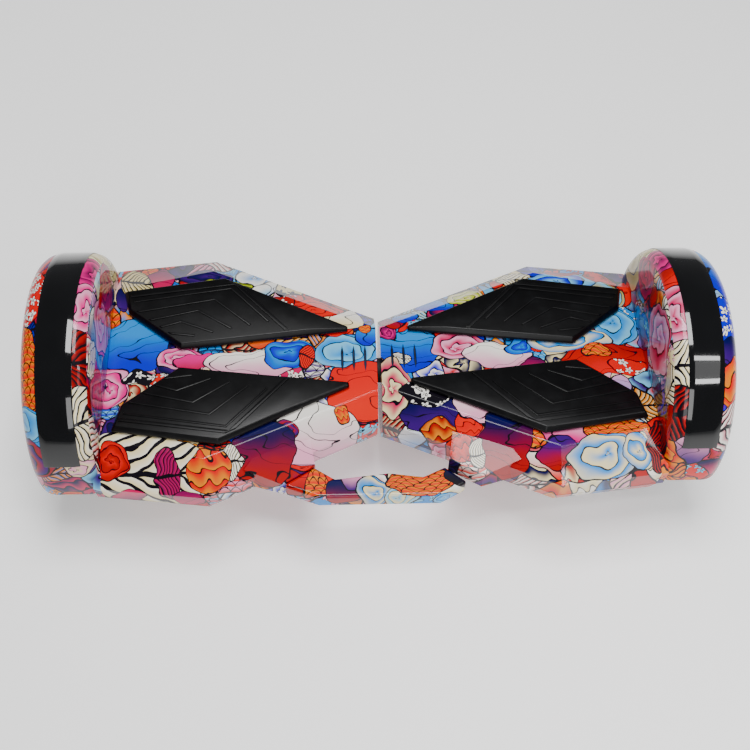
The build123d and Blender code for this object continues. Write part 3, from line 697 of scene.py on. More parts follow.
HANDLE_PRINT = patches(
    """
    -80 -132 18 16 PLAIN CRIMSON RED
    -60 -136 14 14 SCALES ORANGE AMBER
    -38 -146 17 14 PLAIN CRIMSON NAVY
    -27 -134 10 9 PLAIN PURPLE PALE_PINK
    -8 -146 18 18 WAVE SKY CREAM
    16 -152 16 12 WAVE PALE_BLUE CREAM
    36 -136 34 15 SCALES ORANGE AMBER
    57 -156 14 6 WAVE PALE_BLUE SKY
    72 -130 14 14 PLAIN BLACK NAVY
    64 -120 7 6 FLAME RED ORANGE
    """
)


@dataclass(frozen=True)
class Sketch:
    """What a motif draws at a point: a place between its colours, and ink."""

    tone: Value
    ink: Value


@dataclass(frozen=True)
class Layer:
    """What lies on top at a point of the print.

    Attributes:
        local: Place inside the shape, with the shape's size as its third part.
        low: The shape's first colour.
        high: Its second colour.
        kind: Its motif's number.
        ink: Where its outline is drawn.
    """

    local: Value
    low: Value
    high: Value
    kind: Value
    ink: Value


@dataclass(frozen=True)
class PrintedShell:
    """Gloss lacquer over a printed pattern of flowers, leaves, scales, waves and flames.

    Attributes:
        name: The material's name.
        shapes: The pattern's shapes, from the back one to the front one.
        twisted: Whether the shell stands at the rest twist.
        outline: Width of a shape's outline, in millimetres as are the others.
        ground_size: Size given to the cells behind the shapes.
        outer_x: Where a fender's crown ends and its outer wall begins.
        wall_r: Radius inside which a fender's inner wall lies.
        crown_shift: Gap that keeps a fender's crown away from its wall on the unrolled sheet.
        lean: Share of the drop below the deck that unrolls along the sheet.
    """

    name: str
    shapes: tuple[Patch, ...]
    twisted: bool = False
    outline: float = 1.1
    ground_size: float = 22.0
    outer_x: float = 287.0
    wall_r: float = 112.0
    crown_shift: float = 150.0
    lean: float = 0.62

    def unrolled(self, g: Graph) -> Value:
        """Place on the unrolled shell, in millimetres.

        The deck keeps its plan, a fender's inner wall unfolds from it, and its crown unrolls by angle.

        Args:
            g: The material's graph.

        Returns:
            The place, shifted a little so that outlines are uneven.
        """
        place = g.place()
        if self.twisted:
            turn = {0: place, "Center": (0.0, 0.0, AXLE_Z), "Angle": REST_TWIST}
            place = g.node("ShaderNodeVectorRotate", {"rotation_type": "X_AXIS"}, turn)
        x, y, z = g.split(g.vector("MULTIPLY", place, (1000.0, 1000.0, 1000.0)))
        far = abs(x)
        lift = z - FENDER_ARC_Z / MM
        radius = y.hypot(lift)
        outer = far > self.outer_x
        fender = far > FENDER_X / MM - 0.7
        wall = fender * (1.0 - outer) * (radius < self.wall_r)
        above = (z - DECK_Z / MM).most(0.0)
        crown_x = far + self.crown_shift + (FENDER_R / MM - radius).most(0.0) * outer
        across = g.between(fender, far, g.between(wall, crown_x, far + above))
        crown_y = y.maths("ARCTAN2", lift) * (FENDER_R / MM)
        flat = y - self.lean * (DECK_Z / MM - z)
        along = g.between(fender, flat, g.between(wall, crown_y, y))
        sheet = g.join(across * x.sign(), along)
        wide = self.drift(g, sheet, 0.032, 17.0)
        return g.vector("ADD", sheet, g.vector("ADD", wide, self.drift(g, sheet, 0.1, 2.2)))

    def drift(self, g: Graph, sheet: Value, scale: float, amount: float) -> Value:
        """Smooth shifts that make outlines uneven.

        Args:
            g: The material's graph.
            sheet: Place on the unrolled shell.
            scale: How often the shifts change, per millimetre.
            amount: Their range in millimetres.

        Returns:
            The shift.
        """
        inputs = {"Vector": sheet, "Scale": scale, "Detail": 1.0}
        noise = g.node("ShaderNodeTexNoise", {"noise_dimensions": "2D"}, inputs, "Color")
        centred = g.vector("SUBTRACT", noise, (0.5, 0.5, 0.5))
        return g.vector("MULTIPLY", centred, (amount, amount, 0.0))

    def ground(self, g: Graph, sheet: Value) -> Layer:
        """Cells behind all shapes.

        Args:
            g: The material's graph.
            sheet: Place on the unrolled shell.

        Returns:
            The cells' layer.
        """
        cells = {"voronoi_dimensions": "2D"}
        where = {"Vector": sheet, "Scale": 0.042}
        middle = g.node("ShaderNodeTexVoronoi", cells, where, "Position")
        chance = g.also(middle, "Color")
        edges = g.node("ShaderNodeTexVoronoi", cells | {"feature": "DISTANCE_TO_EDGE"}, where)
        away = g.vector("SUBTRACT", sheet, middle)
        scale = 1.0 / self.ground_size
        local = g.vector("MULTIPLY_ADD", away, (scale, scale, 0.0), (0.0, 0.0, self.ground_size))
        red, green, blue = g.parts(chance)
        low = self.pick(g, green, "RED SKY MAGENTA CREAM PURPLE ORANGE COBALT")
        high = self.pick(g, blue, "WHITE AMBER PALE_PINK CRIMSON PALE_BLUE NAVY")
        kind = (red * (len(Motif) - 0.01)).whole()
        return Layer(local, low, high, kind, edges < 0.035)

    def pick(self, g: Graph, chance: Value, names: str) -> Value:
        """One of some colours.

        Args:
            g: The material's graph.
            chance: What chooses, from 0 to 1.
            names: The names of the inks.

        Returns:
            The colour.
        """
        inks = [Ink[name] for name in names.split()]
        stops = [(i / len(inks), ink.linear()) for i, ink in enumerate(inks)]
        node = g.node("ShaderNodeValToRGB", {"stops": stops}, {0: chance})
        node.socket.node.color_ramp.interpolation = "CONSTANT"
        return node

    def stack(self, g: Graph, sheet: Value) -> Layer:
        """Lays the shapes over each other, and the ground where there is none.

        Args:
            g: The material's graph.
            sheet: Place on the unrolled shell.

        Returns:
            The layer on top.
        """
        local, low, high, kind, covered = sheet, Ink.BLACK.linear(), Ink.BLACK.linear(), 0.0, 0.0
        for patch in self.shapes:
            scale = (1.0 / patch.reach[0], 1.0 / patch.reach[1], 0.0)
            shift = (-patch.at[0] * scale[0], -patch.at[1] * scale[1], patch.size())
            here = g.vector("MULTIPLY_ADD", sheet, scale, shift)
            inside = g.vector("DISTANCE", here, (0.0, 0.0, patch.size()), out="Value") < 1.0
            local = g.choose(inside, local, here)
            low = g.mix(inside, low, patch.low.linear())
            high = g.mix(inside, high, patch.high.linear())
            kind = g.between(inside, kind, float(patch.motif.value))
            covered = inside.most(covered)
        behind = self.ground(g, sheet)
        local = g.choose(covered, behind.local, local)
        low = g.mix(covered, behind.low, low)
        high = g.mix(covered, behind.high, high)
        kind = g.between(covered, behind.kind, kind)
        x, y, size = g.split(local)
        rim = (1.0 - x.hypot(y)) * size
        return Layer(local, low, high, kind, g.between(covered, behind.ink, rim < self.outline))

    def sketches(self, g: Graph, sheet: Value, local: Value) -> dict[Motif, Sketch]:
        """What each motif draws.

        Args:
            g: The material's graph.
            sheet: Place on the unrolled shell.
            local: Place inside the shape on top.

        Returns:
            The sketch of each motif.
        """
        x, y, size = g.split(local)
        far = x.hypot(y)
        angle = y.maths("ARCTAN2", x)
        turn = angle / FULL_TURN
        flow = g.noise(g.vector("MULTIPLY", sheet, (0.014, 0.04, 0.0)), 1.0, 0.6)
        lines = flow.near(0.44, 0.004).most(flow.near(0.56, 0.004))
        petal = (far * 2.5 + turn + (angle * 5.0 + far * 7.0).sine() * 0.13).fraction()
        curl = (far * 2.1 + (angle * 3.0 + far * 4.0).sine() * 0.16 + x * 0.5).fraction()
        tongue = (y * 1.5 + (x * 9.0 + y * 3.0).sine() * 0.22 + flow * 1.6).fraction()
        vein = (abs(y) * 3.2 - x * 3.6).fraction()
        return {
            Motif.PLAIN: Sketch(y * 0.6 + 0.5 + (flow - 0.5) * 0.5, lines),
            Motif.ROSE: Sketch(petal, petal < 0.12),
            Motif.SCALES: self.scales(x * size / 9.0, y * size / 6.0),
            Motif.LEAF: Sketch(vein, (vein < 0.3).most(abs(y) < 0.06)),
            Motif.BLOSSOM: self.blossoms(g, sheet),
            Motif.FLAME: Sketch(tongue, tongue < 0.1),
            Motif.WAVE: Sketch(curl, curl < 0.09),
        }

    def scales(self, across: Value, up: Value) -> Sketch:
        """Rows of overlapping scales.

        Args:
            across: Place along a row, in scales.
            up: Place across the rows, in rows.

        Returns:
            The sketch.
        """
        x = (across + up.whole() * 0.5).fraction() - 0.5
        y = up.fraction()
        arc = (x * x + y * y * 0.3).maths("SQRT")
        return Sketch(y, arc.near(0.49, 0.045))

    def blossoms(self, g: Graph, sheet: Value) -> Sketch:
        """Scattered five-petalled flowers.

        Args:
            g: The material's graph.
            sheet: Place on the unrolled shell.

        Returns:
            The sketch.
        """
        where = {"Vector": sheet, "Scale": 0.082, "Randomness": 0.75}
        middle = g.node("ShaderNodeTexVoronoi", {"voronoi_dimensions": "2D"}, where, "Position")
        x, y = g.split(g.vector("SUBTRACT", sheet, middle))[:2]
        far = x.hypot(y)
        angle = y.maths("ARCTAN2", x)
        petal = 3.9 + (angle * 5.0).cosine() * 1.5
        ink = far.near(petal, 0.35).most(far.near(1.0, 0.4))
        return Sketch((far < petal) + 0.0, ink)

    def drawn(self, g: Graph) -> tuple[Value, Value]:
        """Draws the print.

        Args:
            g: The material's graph.

        Returns:
            Its colour and its ink.
        """
        sheet = self.unrolled(g)
        top = self.stack(g, sheet)
        both = g.join(0.5, 0.0)
        for motif, sketch in self.sketches(g, sheet, top.local).items():
            both = g.choose(top.kind.near(motif.value, 0.5), both, g.join(sketch.tone, sketch.ink))
        tone, ink = g.split(both)[:2]
        colour = g.mix(tone.ramp(0.05, 0.95), top.low, top.high)
        return colour, ink.most(top.ink)

    def build(self) -> bpy.types.Material:
        """Makes the material.

        Returns:
            The material.
        """
        g = Graph(self.name)
        colour, ink = self.drawn(g)
        peel = g.noise(g.place(), 260.0, 2.0)
        g.set(Base_Color=g.mix(ink, colour, Ink.BLACK.linear()), Roughness=0.35, Coat_Weight=0.55)
        g.set(Coat_Roughness=0.04, Coat_IOR=1.42, Specular_IOR_Level=0.08)
        g.set(Normal=g.bump(peel, 0.12, 0.0002))
        return g.material


@dataclass(frozen=True)
class GlossStrip:
    """Polished black plastic with hairline scratches."""

    name: str = "gloss_black"

    def build(self) -> bpy.types.Material:
        """Makes the material.

        Returns:
            The material.
        """
        g = Graph(self.name)
        place = g.place()
        hair = g.noise(g.vector("MULTIPLY", place, (40.0, 1.5, 1.5)), 60.0, 4.0, 0.7).ramp(0.6, 0.8)
        haze = g.noise(place, 30.0, 4.0)
        colour = g.mix(haze, linear(0x040405), linear(0x0C0D0F))
        g.set(Base_Color=colour, Roughness=0.07 + haze * 0.05 + hair * 0.05, Coat_Weight=0.8)
        g.set(Specular_IOR_Level=0.15, Coat_Roughness=0.03, Normal=g.bump(haze, 0.15, 0.0002))
        return g.material


# ------------------------------------------------------------------ modelling
class Part(Enum):
    """What a selection is made of."""

    VERT = "VERT"
    EDGE = "EDGE"
    FACE = "FACE"


Test = Callable[[Vector], bool]


class Piece:
    """A new mesh, shaped by operators on what a test picks."""

    def __init__(self, name: str) -> None:
        """Takes over the object that an add operator has just made.

        Args:
            name: The object's name.
        """
        self.object = bpy.context.object
        self.object.name = name
        self.bake()

    @classmethod
    def slab(cls, name: str, low: Point, high: Point) -> "Piece":
        """Box between two corners, in metres.

        Args:
            name: The object's name.
            low: Its lower corner.
            high: Its upper corner.

        Returns:
            The piece.
        """
        middle = [(a + b) / 2 for a, b in zip(low, high)]
        bpy.ops.mesh.primitive_cube_add(size=1.0, location=middle)
        bpy.context.object.scale = [b - a for a, b in zip(low, high)]
        return cls(name)

    @classmethod
    def tube(cls, name: str, x: Range, radius: float, sides: int, centre_z: float, ends: bool) -> "Piece":
        """Cylinder along X.

        Args:
            name: The object's name.
            x: Its two stations.
            radius: Its radius.
            sides: Its number of sides.
            centre_z: The height of its middle line.
            ends: Whether its ends are closed.

        Returns:
            The piece.
        """
        bpy.ops.mesh.primitive_cylinder_add(
            vertices=sides,
            radius=radius,
            depth=x[1] - x[0],
            end_fill_type="NGON" if ends else "NOTHING",
            location=((x[0] + x[1]) / 2, 0.0, centre_z),
            rotation=(0.0, math.pi / 2, 0.0),
        )
        return cls(name)

    def alone(self) -> None:
        """Makes this object the active one and the only selected one."""
        bpy.ops.object.select_all(action="DESELECT")
        self.object.select_set(True)
        bpy.context.view_layer.objects.active = self.object

    def bake(self) -> None:
        """Puts the object's place into its mesh."""
        self.alone()
        bpy.ops.object.transform_apply(location=True, rotation=True, scale=True)

    def begin(self, part: Part) -> None:
        """Enters edit mode with nothing selected.

        Args:
            part: What a selection is to be made of.
        """
        bpy.context.view_layer.objects.active = self.object
        bpy.ops.object.mode_set(mode="EDIT")
        bpy.ops.mesh.select_mode(type=part.value)
        bpy.ops.mesh.select_all(action="DESELECT")

    def begin_all(self) -> None:
        """Enters edit mode with everything selected."""
        self.begin(Part.VERT)
        bpy.ops.mesh.select_all(action="SELECT")

    def end(self) -> None:
        """Leaves edit mode."""
        bpy.ops.object.mode_set(mode="OBJECT")

    def pick(self, part: Part, test: Test) -> int:
        """Selects what a test of its middle accepts, and stays in edit mode.

        Args:
            part: Vertices, edges or faces.
            test: Says yes or no to a middle point.

        Returns:
            How many were selected.
        """
        self.begin(part)
        self.end()
        mesh = self.object.data
        spots = [v.co for v in mesh.vertices]
        if part is Part.VERT:
            items, middles = mesh.vertices, spots
        elif part is Part.EDGE:
            items = mesh.edges
            middles = [(spots[e.vertices[0]] + spots[e.vertices[1]]) / 2 for e in items]
        else:
            items, middles = mesh.polygons, [f.center for f in mesh.polygons]
        chosen = [item for item, middle in zip(items, middles) if test(middle)]
        for item in chosen:
            item.select = True
        bpy.ops.object.mode_set(mode="EDIT")
        return len(chosen)

    def cut(self, point: Point, normal: Point, keep_all: bool = False) -> None:
        """Bisects the mesh.

        Args:
            point: A point of the cut.
            normal: Its normal.
            keep_all: Keeps what lies on the normal's side, which is dropped otherwise.
        """
        self.begin_all()
        drop = not keep_all
        bpy.ops.mesh.bisect(plane_co=point, plane_no=normal, use_fill=drop, clear_outer=drop, threshold=1e-7)
        self.end()

    def round_edges(self, offset: float, segments: int, test: Test) -> None:
        """Bevels the edges that a test accepts.

        Args:
            offset: How far the bevel reaches.
            segments: Its number of steps.
            test: Says yes or no to an edge's middle.
        """
        if self.pick(Part.EDGE, test):
            bpy.ops.mesh.bevel(offset=offset, segments=segments, affect="EDGES")
        self.end()

    def round_folds(self, offset: float, segments: int, angle: float = 20.0) -> None:
        """Bevels every edge sharper than an angle.

        Args:
            offset: How far the bevel reaches.
            segments: Its number of steps.
            angle: The angle in degrees.
        """
        self.begin(Part.EDGE)
        bpy.ops.mesh.edges_select_sharp(sharpness=math.radians(angle))
        bpy.ops.mesh.bevel(offset=offset, segments=segments, affect="EDGES")
        self.end()

    def move(self, test: Test, shift: Point) -> None:
        """Moves the vertices that a test accepts.

        Args:
            test: Says yes or no to a vertex.
            shift: How far they move.
        """
        self.pick(Part.VERT, test)
        bpy.ops.transform.translate(value=shift)
        self.end()

    def scale(self, test: Test, factors: Point, centre: Point) -> None:
        """Scales the vertices that a test accepts.

        Args:
            test: Says yes or no to a vertex.
            factors: How much they scale along each axis.
            centre: What they scale about.
        """
        self.pick(Part.VERT, test)
        bpy.ops.transform.resize(value=factors, center_override=centre)
        self.end()

    def sink(self, test: Test, margin: float, depth: float) -> None:
        """Insets the faces that a test accepts as one region, and pushes them along their normals.

        Args:
            test: Says yes or no to a face's middle.
            margin: The inset.
            depth: How far the faces move, outwards where it is positive.
        """
        if self.pick(Part.FACE, test):
            bpy.ops.mesh.inset(thickness=margin, depth=depth, use_even_offset=True)
        self.end()

    def put(self, matrix: Matrix) -> "Piece":
        """Moves the whole mesh and turns its faces outwards again.

        Args:
            matrix: Where it goes.

        Returns:
            The piece.
        """
        self.object.matrix_world = matrix @ self.object.matrix_world
        self.bake()
        return self.tidy()

    def tidy(self) -> "Piece":
        """Welds doubles and turns the faces outwards.

        Returns:
            The piece.
        """
        self.begin_all()
        bpy.ops.mesh.remove_doubles(threshold=1e-6)
        bpy.ops.mesh.normals_make_consistent(inside=False)
        self.end()
        return self

    def join(self, others: list["Piece"]) -> "Piece":
        """Joins other pieces into this one.

        Args:
            others: The other pieces.

        Returns:
            The piece.
        """
        self.alone()
        for other in others:
            other.object.select_set(True)
        bpy.ops.object.join()
        return self

    def finish(self, material: bpy.types.Material, slot: str, body: str, angle: float = 32.0) -> "Piece":
        """Shades the piece and ties it to a body.

        Args:
            material: Its finish.
            slot: The record's material slot.
            body: The body it moves with.
            angle: Folds sharper than this, in degrees, stay sharp.

        Returns:
            The piece.
        """
        self.alone()
        bpy.ops.object.shade_smooth_by_angle(angle=math.radians(angle))
        self.object.data.materials.clear()
        self.object.data.materials.append(material)
        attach(self.object, body)
        return self


def half_matrix(side: Side) -> Matrix:
    """Where a +X sub-part goes on a half.

    Args:
        side: The half.

    Returns:
        A mirror for the left half, and the rest twist for the right one.
    """
    if side is Side.LEFT:
        return Matrix.Diagonal((-1.0, 1.0, 1.0, 1.0))
    up = Matrix.Translation((0.0, 0.0, AXLE_Z))
    return up @ Matrix.Rotation(-REST_TWIST, 4, "X") @ up.inverted()


# ------------------------------------------------------------------ sub-assemblies
@dataclass
class FootPad:
    """Rubber foot pad with a draft, a smooth facet at its tip and raised chevron ribs.

    Plan points and heights are in millimetres. A rib's path holds a (start, drift) pair for each of its
    three points, with the drift per millimetre of the rib's reach from the pad's rear corner.
    """

    outline: tuple = ((29.0, 34.0), (149.0, 93.5), (247.0, 78.0), (241.0, 52.0), (189.0, 10.5), (29.5, 29.5))
    low: float = 123.8
    fold: float = 126.3
    floor: float = 131.0
    top: float = 132.0
    draft: float = 3.5
    rib_width: float = 2.2
    rib_pitch: float = 13.0
    rib_count: int = 5
    rib_path: tuple = (
        ((96.0, 40.0), (1.35, -0.3)),
        ((134.0, 85.0), (1.2, -1.0)),
        ((236.0, 70.0), (0.0, -1.0)),
    )
    step_path: tuple = ((72.0, 10.0), (139.0, 84.0), (262.0, 66.0))
    step_width: float = 3.6
    rib_margin: float = 1.6
    facet: tuple = ((140.0, 94.0, 132.0), (76.0, 22.0, 132.0), (20.0, 32.0, 127.5))
    post_points: tuple = ((120.0, 50.0), (186.0, 50.0))
    post_radius: float = 4.0
    post_range: Range = (118.0, 124.8)

    def sides(self, inset: float) -> list[tuple[Vector, Vector]]:
        """Sides of the outline.

        Args:
            inset: How far they are moved in.

        Returns:
            A point and the outward normal of each side.
        """
        made = []
        for start, stop in zip(self.outline, self.outline[1:] + self.outline[:1]):
            along = Vector((stop[0] - start[0], stop[1] - start[1]))
            normal = Vector((-along.y, along.x)).normalized()
            made.append((Vector(start) - normal * inset, normal))
        return made

    def trim(self, piece: Piece, inset: float) -> None:
        """Cuts a piece to the outline, first upright and then along the draft.

        Args:
            piece: The piece.
            inset: How far the outline is moved in.
        """
        lean = Vector((self.draft, self.top - self.fold)).normalized()
        for point, normal in self.sides(inset):
            piece.cut((point.x * MM, point.y * MM, 0.0), (normal.x, normal.y, 0.0))
        for point, normal in self.sides(inset):
            slope = (normal.x * lean.y, normal.y * lean.y, lean.x)
            piece.cut((point.x * MM, point.y * MM, self.fold * MM), slope)

    def facet_plane(self) -> tuple[Vector, Vector]:
        """Plane of the tip's facet.

        Returns:
            A point on it and its upward normal.
        """
        a, b, c = [Vector(p) * MM for p in self.facet]
        normal = (b - a).cross(c - a).normalized()
        return a, normal if normal.z > 0 else -normal

    def slab(self) -> Piece:
        """Makes the pad's body.

        Returns:
            The piece.
        """
        piece = Piece.slab("pad", (0.0, 0.0, self.low * MM), (0.26, 0.11, self.floor * MM))
        self.trim(piece, 0.0)
        point, normal = self.facet_plane()
        piece.cut(tuple(point), tuple(normal))
        piece.tidy()
        piece.round_folds(0.0009, 3)
        return piece

    def chevron(self, index: int) -> Piece:
        """Makes one chevron rib of the tread.

        Args:
            index: Its place, counted from the tip's end.

        Returns:
            The rib.
        """
        reach = self.rib_pitch * (index + 0.55)
        points = [Vector((x + reach * dx, y + reach * dy)) for (x, y), (dx, dy) in self.rib_path]
        return self.rib(*points, self.rib_width)

    def step(self) -> Piece:
        """Broad rib where the tread ends and the smooth tip begins."""
        return self.rib(*[Vector(point) for point in self.step_path], self.step_width)

    def rib(self, foot: Vector, corner: Vector, end: Vector, width: float) -> Piece:
        """A raised rib through three plan points, mitred at the middle one.

        Args:
            foot: Its first end.
            corner: Its bend.
            end: Its last end.
            width: Its width in millimetres.

        Returns:
            The rib, cut to the tread.
        """
        length = 100.0
        half = width / 2
        piece = Piece.slab(
            "pad_rib",
            (-length * MM, -half * MM, (self.floor - 0.5) * MM),
            (length * MM, half * MM, self.top * MM),
        )
        piece.cut((0.0, 0.0, 0.0), X_AXIS, keep_all=True)
        into, out = (corner - foot).normalized(), (end - corner).normalized()
        side_in, side_out = Vector((-into.y, into.x)), Vector((-out.y, out.x))
        mitre = (side_in + side_out).normalized()
        mitre = mitre / mitre.dot(side_in)
        for x, point, side in ((-length, foot, side_in), (0.0, corner, mitre), (length, end, side_out)):
            for sign in (1.0, -1.0):
                goal = point + side * sign * half
                shift = ((goal.x - x) * MM, (goal.y - sign * half) * MM, 0.0)
                spot = Vector((x * MM, sign * half * MM))
                piece.move(lambda p, s=spot: (Vector((p.x, p.y)) - s).length < 1e-5, shift)
        self.trim(piece, self.rib_margin)
        point, normal = self.facet_plane()
        piece.cut(tuple(point), tuple(normal))
        piece.tidy()
        piece.round_edges(0.0004, 2, lambda p: p.z > (self.top - 0.05) * MM)
        return piece

    def post(self, x: float, y: float) -> Piece:
        """Makes a sensor post under the pad, with a rounded tip.

        Args:
            x: Its place along the board.
            y: Its place across it.

        Returns:
            The post.
        """
        low, high = self.post_range
        middle = (x * MM, y * MM, (low + high) / 2 * MM)
        bpy.ops.mesh.primitive_cylinder_add(
            vertices=32, radius=self.post_radius * MM, depth=(high - low) * MM, location=middle
        )
        piece = Piece("pad_post")
        piece.round_edges(0.0007, 2, lambda p: p.z < (low + 0.1) * MM)
        return piece

    def build(self, side: Side, end: End, material: bpy.types.Material) -> None:
        """Makes one pad in place.

        Args:
            side: The half.
            end: Which of its pads.
            material: Its finish.
        """
        piece = self.slab()
        extras = [self.chevron(i) for i in range(self.rib_count)] + [self.step()]
        extras += [self.post(x, y) for x, y in self.post_points]
        piece.join(extras)
        matrix = half_matrix(side)
        if end is End.FRONT:
            matrix = matrix @ Matrix.Diagonal((1.0, -1.0, 1.0, 1.0))
        piece.put(matrix)
        node = f"{end.value}_pad_{side.value}"
        piece.object.name = f"{end.value}_foot_pad_{side.value}"
        piece.finish(material, "pad", node)
        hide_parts(node)
        LOG.info("foot pad %s: %d faces", node, len(piece.object.data.polygons))


@dataclass
class Tyre:
    """Solid tyre with a crowned tread, cut blocks and ribbed sidewalls.

    Attributes:
        middle_x: Its middle along X.
        half_width: Half its width.
        radius: Its outer radius.
        bore: The radius of its bore.
        blocks: How many blocks go round.
        groove: The depth of the grooves between them.
        rings: Distances from its middle at which the tread is cut round.
        crown: Drops of the tread at such distances, as (distance, drop) pairs.
        wall: The sidewall on its way in, as (radius, sideways push) pairs.
    """

    middle_x: float = 0.2875
    half_width: float = 0.023
    radius: float = 0.1
    bore: float = 0.07
    blocks: int = 60
    groove: float = 0.0024
    rings: tuple = (-0.0155, -0.0095, -0.0035, 0.0035, 0.0095, 0.0155, -0.0195, 0.0195)
    crown: tuple = ((0.023, 0.0115), (0.0195, 0.0048), (0.0155, 0.0018), (0.0095, 0.0004))
    wall: tuple = ((0.083, 0.0), (0.0815, -0.0007), (0.0785, -0.0007), (0.077, 0.0), (0.07, 0.0))

    def build(self, side: Side, material: bpy.types.Material) -> None:
        """Makes one tyre in place.

        Args:
            side: The half it belongs to.
            material: Its finish.
        """
        x0, x1 = self.middle_x - self.half_width, self.middle_x + self.half_width
        piece = Piece.tube("tyre_body", (x0, x1), self.radius, self.blocks * 3, AXLE_Z, False)
        for shift in self.rings:
            piece.cut((self.middle_x + shift, 0.0, AXLE_Z), X_AXIS, keep_all=True)
        centre = (self.middle_x, 0.0, AXLE_Z)
        for far, drop in self.crown:
            factor = (self.radius - drop) / self.radius

            def on_ring(p: Vector, reach: float = far) -> bool:
                """Whether a vertex is on one of the two rings at this distance."""
                return abs(abs(p.x - self.middle_x) - reach) < 1e-4

            piece.scale(on_ring, (1.0, factor, factor), centre)
        self.walls(piece, x0, x1)
        self.tread(piece)
        piece.tidy()
        piece.put(half_matrix(side))
        piece.object.name = f"treaded_tyre_{side.value}"
        piece.finish(material, "tyre", f"{side.value}_wheel", 28.0)
        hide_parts(f"tyre_{side.value}")
        LOG.info("tyre %s: %d faces", side.value, len(piece.object.data.polygons))

    def walls(self, piece: Piece, x0: float, x1: float) -> None:
        """Draws the sidewalls in to the bore in steps and closes the bore.

        Args:
            piece: The tyre.
            x0: The station of its inner edge.
            x1: The station of its outer edge.
        """
        for x, out in ((x0, -1.0), (x1, 1.0)):
            level = self.radius - self.crown[0][1]
            for step, push in self.wall:

                def on_rim(p: Vector, station: float = x, radius: float = level) -> bool:
                    """Whether a vertex is on the wall's last loop."""
                    off = math.hypot(p.y, p.z - AXLE_Z) - radius
                    return abs(p.x - station) < 0.0009 and abs(off) < 0.0004

                piece.pick(Part.VERT, on_rim)
                bpy.ops.mesh.select_mode(type="EDGE")
                bpy.ops.mesh.extrude_edges_move()
                factor = step / level
                bpy.ops.transform.resize(value=(1.0, factor, factor), center_override=(x, 0.0, AXLE_Z))
                now = self.wall_shift(piece, x)
                bpy.ops.transform.translate(value=(x + out * push - now, 0.0, 0.0))
                piece.end()
                level = step
        piece.pick(Part.VERT, lambda p: abs(math.hypot(p.y, p.z - AXLE_Z) - self.bore) < 0.0003)
        bpy.ops.mesh.select_mode(type="EDGE")
        bpy.ops.mesh.bridge_edge_loops()
        piece.end()

    def wall_shift(self, piece: Piece, x: float) -> float:
        """Station of the loop that has just been extruded.

        Args:
            piece: The tyre.
            x: What is returned if nothing is selected.

        Returns:
            The mean station.
        """
        bpy.ops.object.mode_set(mode="OBJECT")
        chosen = [v.co.x for v in piece.object.data.vertices if v.select]
        bpy.ops.object.mode_set(mode="EDIT")
        return sum(chosen) / len(chosen) if chosen else x

    def tread(self, piece: Piece) -> None:
        """Sinks the grooves between the tread blocks.

        Args:
            piece: The tyre.
        """
        pitch = FULL_TURN / self.blocks

        def grooved(p: Vector) -> bool:
            """Whether a face lies in a groove.

            Args:
                p: The face's middle.

            Returns:
                True between two blocks.
            """
            far = abs(p.x - self.middle_x)
            if math.hypot(p.y, p.z - AXLE_Z) < 0.09 or far > 0.0196:
                return False
            shift = 0.5 if p.x > self.middle_x else 0.0
            place = (math.atan2(p.y, p.z - AXLE_Z) / pitch + shift + far * 60.0) % 1.0
            across = place < 0.34 and far > 0.0035
            around = 0.0035 < far < 0.0095 and place < 0.67
            return across or around

        piece.sink(grooved, 0.0003, -self.groove)


@dataclass
class FenderStrip:
    """Glossy strip over a fender's crown, slightly domed across, with rounded edges.

    Attributes:
        x: Its two edges along X.
        low: The radius of its underside.
        high: The radius of its crown.
        dome: How much higher its crown is than its edges.
        shoulder: How far its two shoulders lie from its edges.
        shoulder_rise: How much higher they are than its edges.
        half_angle: How far it reaches to each side of the top.
    """

    x: Range = (0.27, 0.302)
    low: float = 0.119
    high: float = 0.12015
    dome: float = 0.0006
    shoulder: float = 0.006
    shoulder_rise: float = 0.0004
    half_angle: float = math.radians(74.0)

    def build(self, side: Side, material: bpy.types.Material) -> None:
        """Makes one strip in place.

        Args:
            side: The half.
            material: Its finish.
        """
        edge = self.high - self.dome
        piece = Piece.tube("strip", self.x, edge, 224, FENDER_ARC_Z, False)
        middle = (self.x[0] + self.x[1]) / 2
        shoulders = (self.x[0] + self.shoulder, self.x[1] - self.shoulder)
        for x, rise in ((middle, self.dome), *[(x, self.shoulder_rise) for x in shoulders]):
            piece.cut((x, 0.0, 0.0), X_AXIS, keep_all=True)
            factor = (edge + rise) / edge

            def on_loop(p: Vector, station: float = x) -> bool:
                """Whether a vertex is on the loop that has just been cut."""
                return abs(p.x - station) < 1e-4

            piece.scale(on_loop, (1.0, factor, factor), (x, 0.0, FENDER_ARC_Z))
        end_z = FENDER_ARC_Z + self.low * math.cos(self.half_angle)
        piece.begin_all()
        bpy.ops.mesh.bisect(plane_co=(0.0, 0.0, end_z), plane_no=(0.0, 0.0, -1.0), clear_outer=True)
        piece.end()
        piece.tidy()
        thick = piece.object.modifiers.new("thick", "SOLIDIFY")
        thick.thickness = edge - self.low
        thick.offset = -1.0
        thick.use_even_offset = True
        bpy.ops.object.modifier_apply(modifier=thick.name)
        piece.round_folds(0.0003, 2, 60.0)
        piece.put(half_matrix(side))
        piece.object.name = f"gloss_strip_{side.value}"
        piece.finish(material, "strip", f"{side.value}_half", 40.0)
        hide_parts(f"fender_strip_{side.value}")
        LOG.info("strip %s: %d faces", side.value, len(piece.object.data.polygons))


